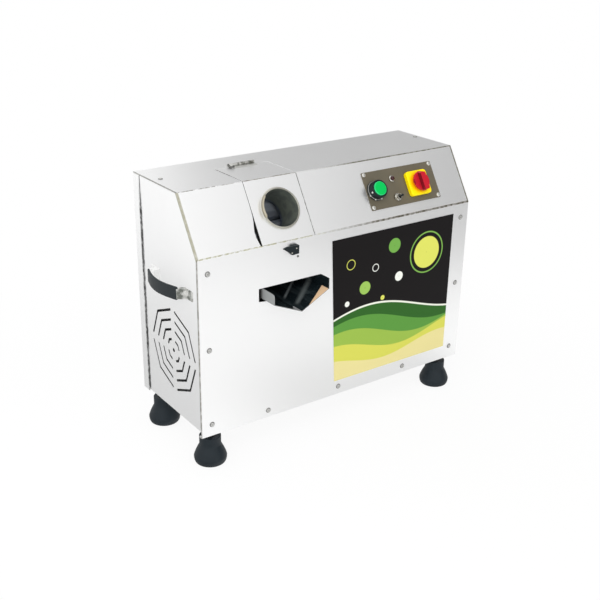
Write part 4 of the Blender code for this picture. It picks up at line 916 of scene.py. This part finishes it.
colour = (0.0090, 0.0078, 0.0082)
bands = [
    (0.40, 0.085, 0.62, 0.35, (0.80, 0.82, 0.72)),
    (0.388, 0.085, 0.62, 0.35, (0.03, 0.12, 0.02)),
    (0.335, 0.080, 0.70, 0.60, (0.10, 0.29, 0.05)),
    (0.270, 0.070, 0.80, 0.95, (0.30, 0.46, 0.07)),
    (0.195, 0.055, 0.90, 1.40, (0.62, 0.62, 0.10)),
    (0.110, 0.040, 1.00, 1.90, (0.74, 0.66, 0.30)),
]
for rise, swing, turns, shift, paint in bands:
    colour = mixed_colour(wave_below(rise, swing, turns, shift), colour, paint)
rings = [
    (0.78, 0.74, 0.110, 0.110, (0.66, 0.68, 0.12)),
    (0.78, 0.74, 0.145, 0.012, (0.20, 0.42, 0.08)),
    (0.50, 0.84, 0.050, 0.050, (0.16, 0.38, 0.07)),
    (0.55, 0.62, 0.034, 0.034, (0.80, 0.82, 0.76)),
    (0.35, 0.72, 0.028, 0.008, (0.80, 0.82, 0.76)),
    (0.27, 0.60, 0.045, 0.045, (0.30, 0.50, 0.10)),
    (0.15, 0.78, 0.036, 0.008, (0.62, 0.64, 0.12)),
    (0.13, 0.52, 0.020, 0.020, (0.80, 0.82, 0.76)),
    (0.42, 0.50, 0.018, 0.018, (0.66, 0.68, 0.12)),
]
for ring in rings:
    colour = mixed_colour(ring_mask(*ring[:4]), colour, ring[4])
speckle = noise_node(place, 900, 2)
rough = scaled(speckle, 0.12, 0.42)
feed(shader, {"Base Color": colour, "Roughness": rough, "Specular IOR Level": 0.08})
bumped(shader, speckle, 0.03, 0.0001)
eased("graphic_panel", film, 0.1)

# The control plate: an enamelled steel plate on the slope, held by four screws, with the controls through
# holes that the cover has too. The enamel is olive brown and a little patchy.
enamel = mottled("olive_enamel", (0.150, 0.126, 0.086), (0.110, 0.099, 0.066), (38, 3), (0.25, 0.38),
                 ((900, 2), 0.05, 0.0002), fine=(600, 3), metallic=0.15)
eased("control_plate", enamel, 0.35)
plate_face = 2.1 * mm

# The start button: a black body with a clamping ring, and a green cap that is pressed 3 mm.
# Round its foot lie a thin ring and three studs, and a fourth stud is on its side.
start_x, start_up = slope_place("start_button_body")
start_place = on_slope(start_x, start_up, 0)
start_profile = rounded_profile([
    (11, -44.1), (11, 0), (19, 0), (19, 3), (17.2, 3.6), (17.0, 17), (14.3, 17), (14.3, 10), (4.3, 10),
    (4.3, -44.1),
], 1.2, lift=plate_face)
start_body = turned("start_button_body_piece", start_profile, moulded, start_place, slope_out, True)
seat(start_body, "start_button_body")
green = coloured_plastic("signal_green", (0.0, 0.52, 0.095), (0.0, 0.46, 0.080), 0.42, 0.12)
pale_green = coloured_plastic("pale_green", (0.05, 0.62, 0.24), (0.03, 0.55, 0.20), 0.42, 0.2)
cap_profile = rounded_profile(
    [(0, 4.3), (4, 4.3), (4, 13.3), (13.5, 13.3), (13.5, 18.1), (11, 18.4), (0, 18.4)], 1.0, lift=plate_face,
)
cap_rim = 12.6 * mm
start_cap = turned("start_button_piece", cap_profile, green, start_place, slope_out)
repaint(start_cap.data, [pale_green], beyond(start_place, slope_out, cap_rim))
seat(start_cap, "start_button")
cap_light = brushed_steel("satin_nickel", (1, 1, 1), 0.36, (0.82, 0.82, 0.78), (0.62, 0.62, 0.58))
ring_steel = brushed_steel("ring_steel", (1, 1, 1), 0.36, (0.44, 0.43, 0.40), (0.16, 0.16, 0.15), shine=0.9)
ring_profile = rounded_profile([(17.3, 3.1), (18.4, 2.8), (18.3, 3.4), (17.4, 3.9)], 0.2, 2, plate_face)
fasten(turned("start_button_ring", ring_profile, ring_steel, start_place, slope_out, True), "root")
stud_profile = rounded_profile([(0, 0), (2.0, 0), (1.8, 1.0), (0, 1.5)], 0.5)
studs = [(205, 17.9, 3.1), (245, 17.9, 3.1), (292, 17.9, 3.1), (194, 16.8, 12)]
for number, (degrees, reach, height) in enumerate(studs):
    turn = math.radians(degrees)
    way = Vector((math.cos(turn), 0, 0)) + slope_up * math.sin(turn)
    spot = start_place + way * reach * mm + slope_out * (plate_face + height * mm)
    axis = way if number == 3 else slope_out
    fasten(turned(f"start_button_stud_{number + 1}", stud_profile, cap_light, spot, axis, sides=24), "root")

# The pilot lamp: a tall dark red lens, screwed down by a bright nut.
# The lens is faceted inside, which breaks up its colour.
bright = mottled("bright_chrome", (0.90, 0.89, 0.84), (0.46, 0.44, 0.39), (240, 2), 0.26,
                 ((700, 2), 0.04, 0.0002), band=(0.4, 0.6), metallic=1.0)
facets = (500, 1)
lens = mottled("red_lens", (0.050, 0.002, 0.003), (0.020, 0.001, 0.002), facets, 0.14, (facets, 0.05, 0.0003))
lens.node_tree.nodes["Principled BSDF"].inputs["Coat Weight"].default_value = 0.15
lamp_place = on_slope(*slope_place("pilot_lamp"), 0)
lens_points = [(0, -14.1), (4.4, -14.1), (4.4, 4.6), (2.6, 6.6), (0, 7)]
lens_profile = rounded_profile(lens_points, 1.4, lift=plate_face)
seat(turned("pilot_lamp_piece", lens_profile, lens, lamp_place, slope_out, sides=48), "pilot_lamp")
nut_profile = rounded_profile([(4.5, 0), (6.5, 0), (6.3, 2.4), (5.2, 3.2), (4.5, 3.2)], 0.6, lift=plate_face)
fasten(turned("pilot_lamp_nut", nut_profile, bright, lamp_place, slope_out, True, 48), "root")

# The direction switch: a chromed neck with a hexagon nut, and a short lever with a black sleeve.
# The lever tilts between forward and reverse.
eased("direction_switch_neck", bright, 0.35, 3)
neck_points = frame["nodes"]["direction_switch_neck"].data.vertices
neck_top = max((vert.co - slope_origin).dot(slope_out) for vert in neck_points)
sleeve_foot = neck_top + 3 * mm
bare_top = neck_top + 2.2 * mm
lever_cut = 0.3


def short_sleeve(points):
    """Shorten the lever past its neck to seven tenths."""
    height = (points - slope_foot) @ out_way
    return points - (np.clip(height - neck_top, 0, None) * lever_cut)[:, None] * out_way


def below_sleeve(middle, normal):
    """Whether a face is on the lever's bare part, under its sleeve."""
    return (middle - slope_origin).dot(slope_out) < bare_top


sleeve_cut = (slope_origin + slope_out * sleeve_foot, slope_out)
eased("direction_switch_lever", moulded, 0.3, 3, [sleeve_cut], move=short_sleeve,
      inside=(bright, below_sleeve))
nut_width = 7.4 * mm
nut_rings = np.array([(0.0, 1.0), (0.6, 1.06), (3.0, 1.06), (3.8, 1.0), (3.8, 0.74), (0.0, 0.74)])
angle = 2 * math.pi * np.arange(6) / 6 + 0.3
nut_place = on_slope(*slope_place("direction_switch_neck"), plate_face)
nut_points = ring_points(nut_place, nut_rings[:, 1:] * nut_width, nut_rings[:, :1] * mm, angle,
                         (1, 0, 0), slope_up, slope_out)
nut_faces = grid_faces(len(nut_rings), len(angle), True, True)
fasten(add_piece("direction_switch_nut", nut_points, nut_faces, bright, 20), "root")

# The main switch: a yellow moulded base, a red rotary knob with a tall grip, and the contact block behind
# the cover. The base is screwed to the block through the plate.
yellow, shader, place = new_material("signal_yellow")
knob_x, knob_up = slope_place("isolator_base")
base_proud = 9 * mm
knob_centre = on_slope(knob_x, knob_up, plate_face + base_proud)
# Painted shadow: the base goes orange close to the knob, as the knob's shadow on it.
knob_shadow = smooth_step(vector_node("DISTANCE", place, knob_centre), 17 * mm, 23 * mm)
rough = scaled(noise_node(place, 300, 2), 0.15, 0.36)
feed(shader, {"Base Color": mixed_colour(knob_shadow, (1.0, 0.52, 0.0), (1.0, 0.78, 0.0))})
feed(shader, {"Roughness": rough, "Specular IOR Level": 0.25})
eased("isolator_base", yellow, 3.2, 5)
red = coloured_plastic("signal_red", (0.54, 0.011, 0.024), (0.46, 0.008, 0.020), 0.38, 0.2)
# Painted shade: the grip's left side takes a darker red, as its shaded face.
grip_shade_red = coloured_plastic("shaded_red", (0.22, 0.006, 0.014), (0.16, 0.005, 0.011), 0.4, 0.2)
grip_foot = plate_face + 18 * mm
grip_shoulder = grip_foot + 2 * mm
grip_draft = 0.24


def left_of_grip(middle, normal):
    """Whether a face is the grip's left side."""
    return normal.x < -0.7 and (middle - slope_origin).dot(slope_out) > grip_foot


def drafted_grip(points):
    """Draw the grip's upper end in towards its foot."""
    from_base = points - np.array(on_slope(knob_x, knob_up, 0))
    up = from_base @ up_way
    upper_end = (from_base @ out_way > grip_shoulder) & (up > 0)
    return points - np.where(upper_end, up * grip_draft, 0)[:, None] * up_way


eased("isolator_knob", red, 1.1, 4, move=drafted_grip, inside=(grip_shade_red, left_of_grip))
eased("isolator_contact_block", moulded, 0.5)

# The strap handles: a bowed black rubber strap on a steel core, held at each end by a bent nickel cap.
# The caps are pressed thin, and their faces are dented.
strap_rubber = moulded_rubber("strap_rubber", (0.014, 0.020, 0.023), (0.006, 0.010, 0.013))
cap_nickel = mottled("dented_nickel", (0.76, 0.76, 0.73), (0.20, 0.21, 0.19), (90, 3), (0.2, 0.24),
                     ((130, 2), 0.5, 0.0015), band=(0.36, 0.62), metallic=0.9)
# The rear caps are painted near white, as nickel washed out by the light falling on them.
rear_cap_painted_light = brushed_steel("rear_cap_painted_light", (1, 1, 1), 0.36, (0.98, 0.98, 0.97), (0.92, 0.92, 0.91))
cap_droop = 3.5 * mm
cap_share = 0.9


def drooping_cap(points):
    """Lower a cap by 3.5 mm towards the panel, where it is bent down, and thin it by a tenth."""
    middle = (points[:, 2].min() + points[:, 2].max()) / 2
    stand = np.abs(points[:, 0]) - right_x
    droop = 1 - np.clip((stand - 10 * mm) / (12 * mm), 0, 1)
    points[:, 2] = middle + (points[:, 2] - middle) * cap_share - cap_droop * droop
    return points


for side in ("left", "right"):
    eased(side + "_handle_strap", strap_rubber, 1.4, 4).visible_glossy = False
    eased(side + "_handle_front_cap", cap_nickel, 0.4, 2, move=drooping_cap).visible_glossy = False
    eased(side + "_handle_rear_cap", rear_cap_painted_light, 0.7, 3).visible_glossy = False


# The screws: nickel pan heads with a cross recess, nine on the front, two on top and four on the control
# plate. Each is a dome that follows a quartic, with a cross pressed into its middle and a dull rim.
def screws(name, places, out, radius, height, turn, middle_finish, rim_finish):
    """Pan heads of a radius and height in mm, each turned further: the height falls with share ** 4."""
    out = Vector(out).normalized()
    first = out.orthogonal().normalized()
    second = out.cross(first)
    sides = 32
    rings = 12
    share = np.linspace(1, 0, rings)[:, None]
    angle = np.linspace(0, 2 * math.pi, sides, endpoint=False)
    faces = [*grid_faces(rings, sides).tolist(), list(range(sides))]
    for number, place in enumerate(places):
        cross = np.abs(np.sin(2 * (angle + number * turn))) < 0.42
        press = np.where((share < 0.5) & cross, 0.6, 0.0)
        level = np.where(share < 0.98, 1 - 0.75 * share ** 4, 0.0) - press
        points = ring_points(place, radius * mm * share, height * mm * level, angle, first, second, out)
        piece = add_piece(f"{name}_{number + 1}", points, faces, middle_finish, 35)
        repaint(piece.data, [rim_finish], beyond(Vector(place), out, radius * mm * 0.7))
        fasten(piece, "root")


rim_nickel = brushed_steel("screw_rim", (1, 1, 1), 0.40, (0.34, 0.34, 0.33), (0.20, 0.20, 0.19), shine=0.9)
head_nickel = brushed_steel("screw_head", (1, 1, 1), 0.34, (0.74, 0.74, 0.72), (0.50, 0.50, 0.48), shine=0.9)
front_screws = [
    (20, 310), (20, 169), (22, 23), (142, 14), (305, 16), (469, 14), (598, 25), (601, 168), (601, 308),
]
front_spots = [(left_x + x * mm, front_y, bottom_z + z * mm) for x, z in front_screws]
screws("front_screw", front_spots, (0, -1, 0), 5.2, 2, 0.7, head_nickel, rim_nickel)
top_spots = [(left_x + x * mm, front_y + y * mm, top_z) for x, y in ((18, 151), (609, 156))]
screws("top_screw", top_spots, (0, 0, 1), 4.4, 1.6, 0.9, cap_light, rim_nickel)
plate_x, plate_up = slope_place("control_plate")
plate_corners = ((-81, -32), (-81, 32), (81, -32), (81, 32))
plate_spots = [on_slope(plate_x + x * mm, plate_up + up * mm, 1.8 * mm) for x, up in plate_corners]
screws("plate_screw", plate_spots, slope_out, 4.2, 2, 0.6, cap_light, cap_light)
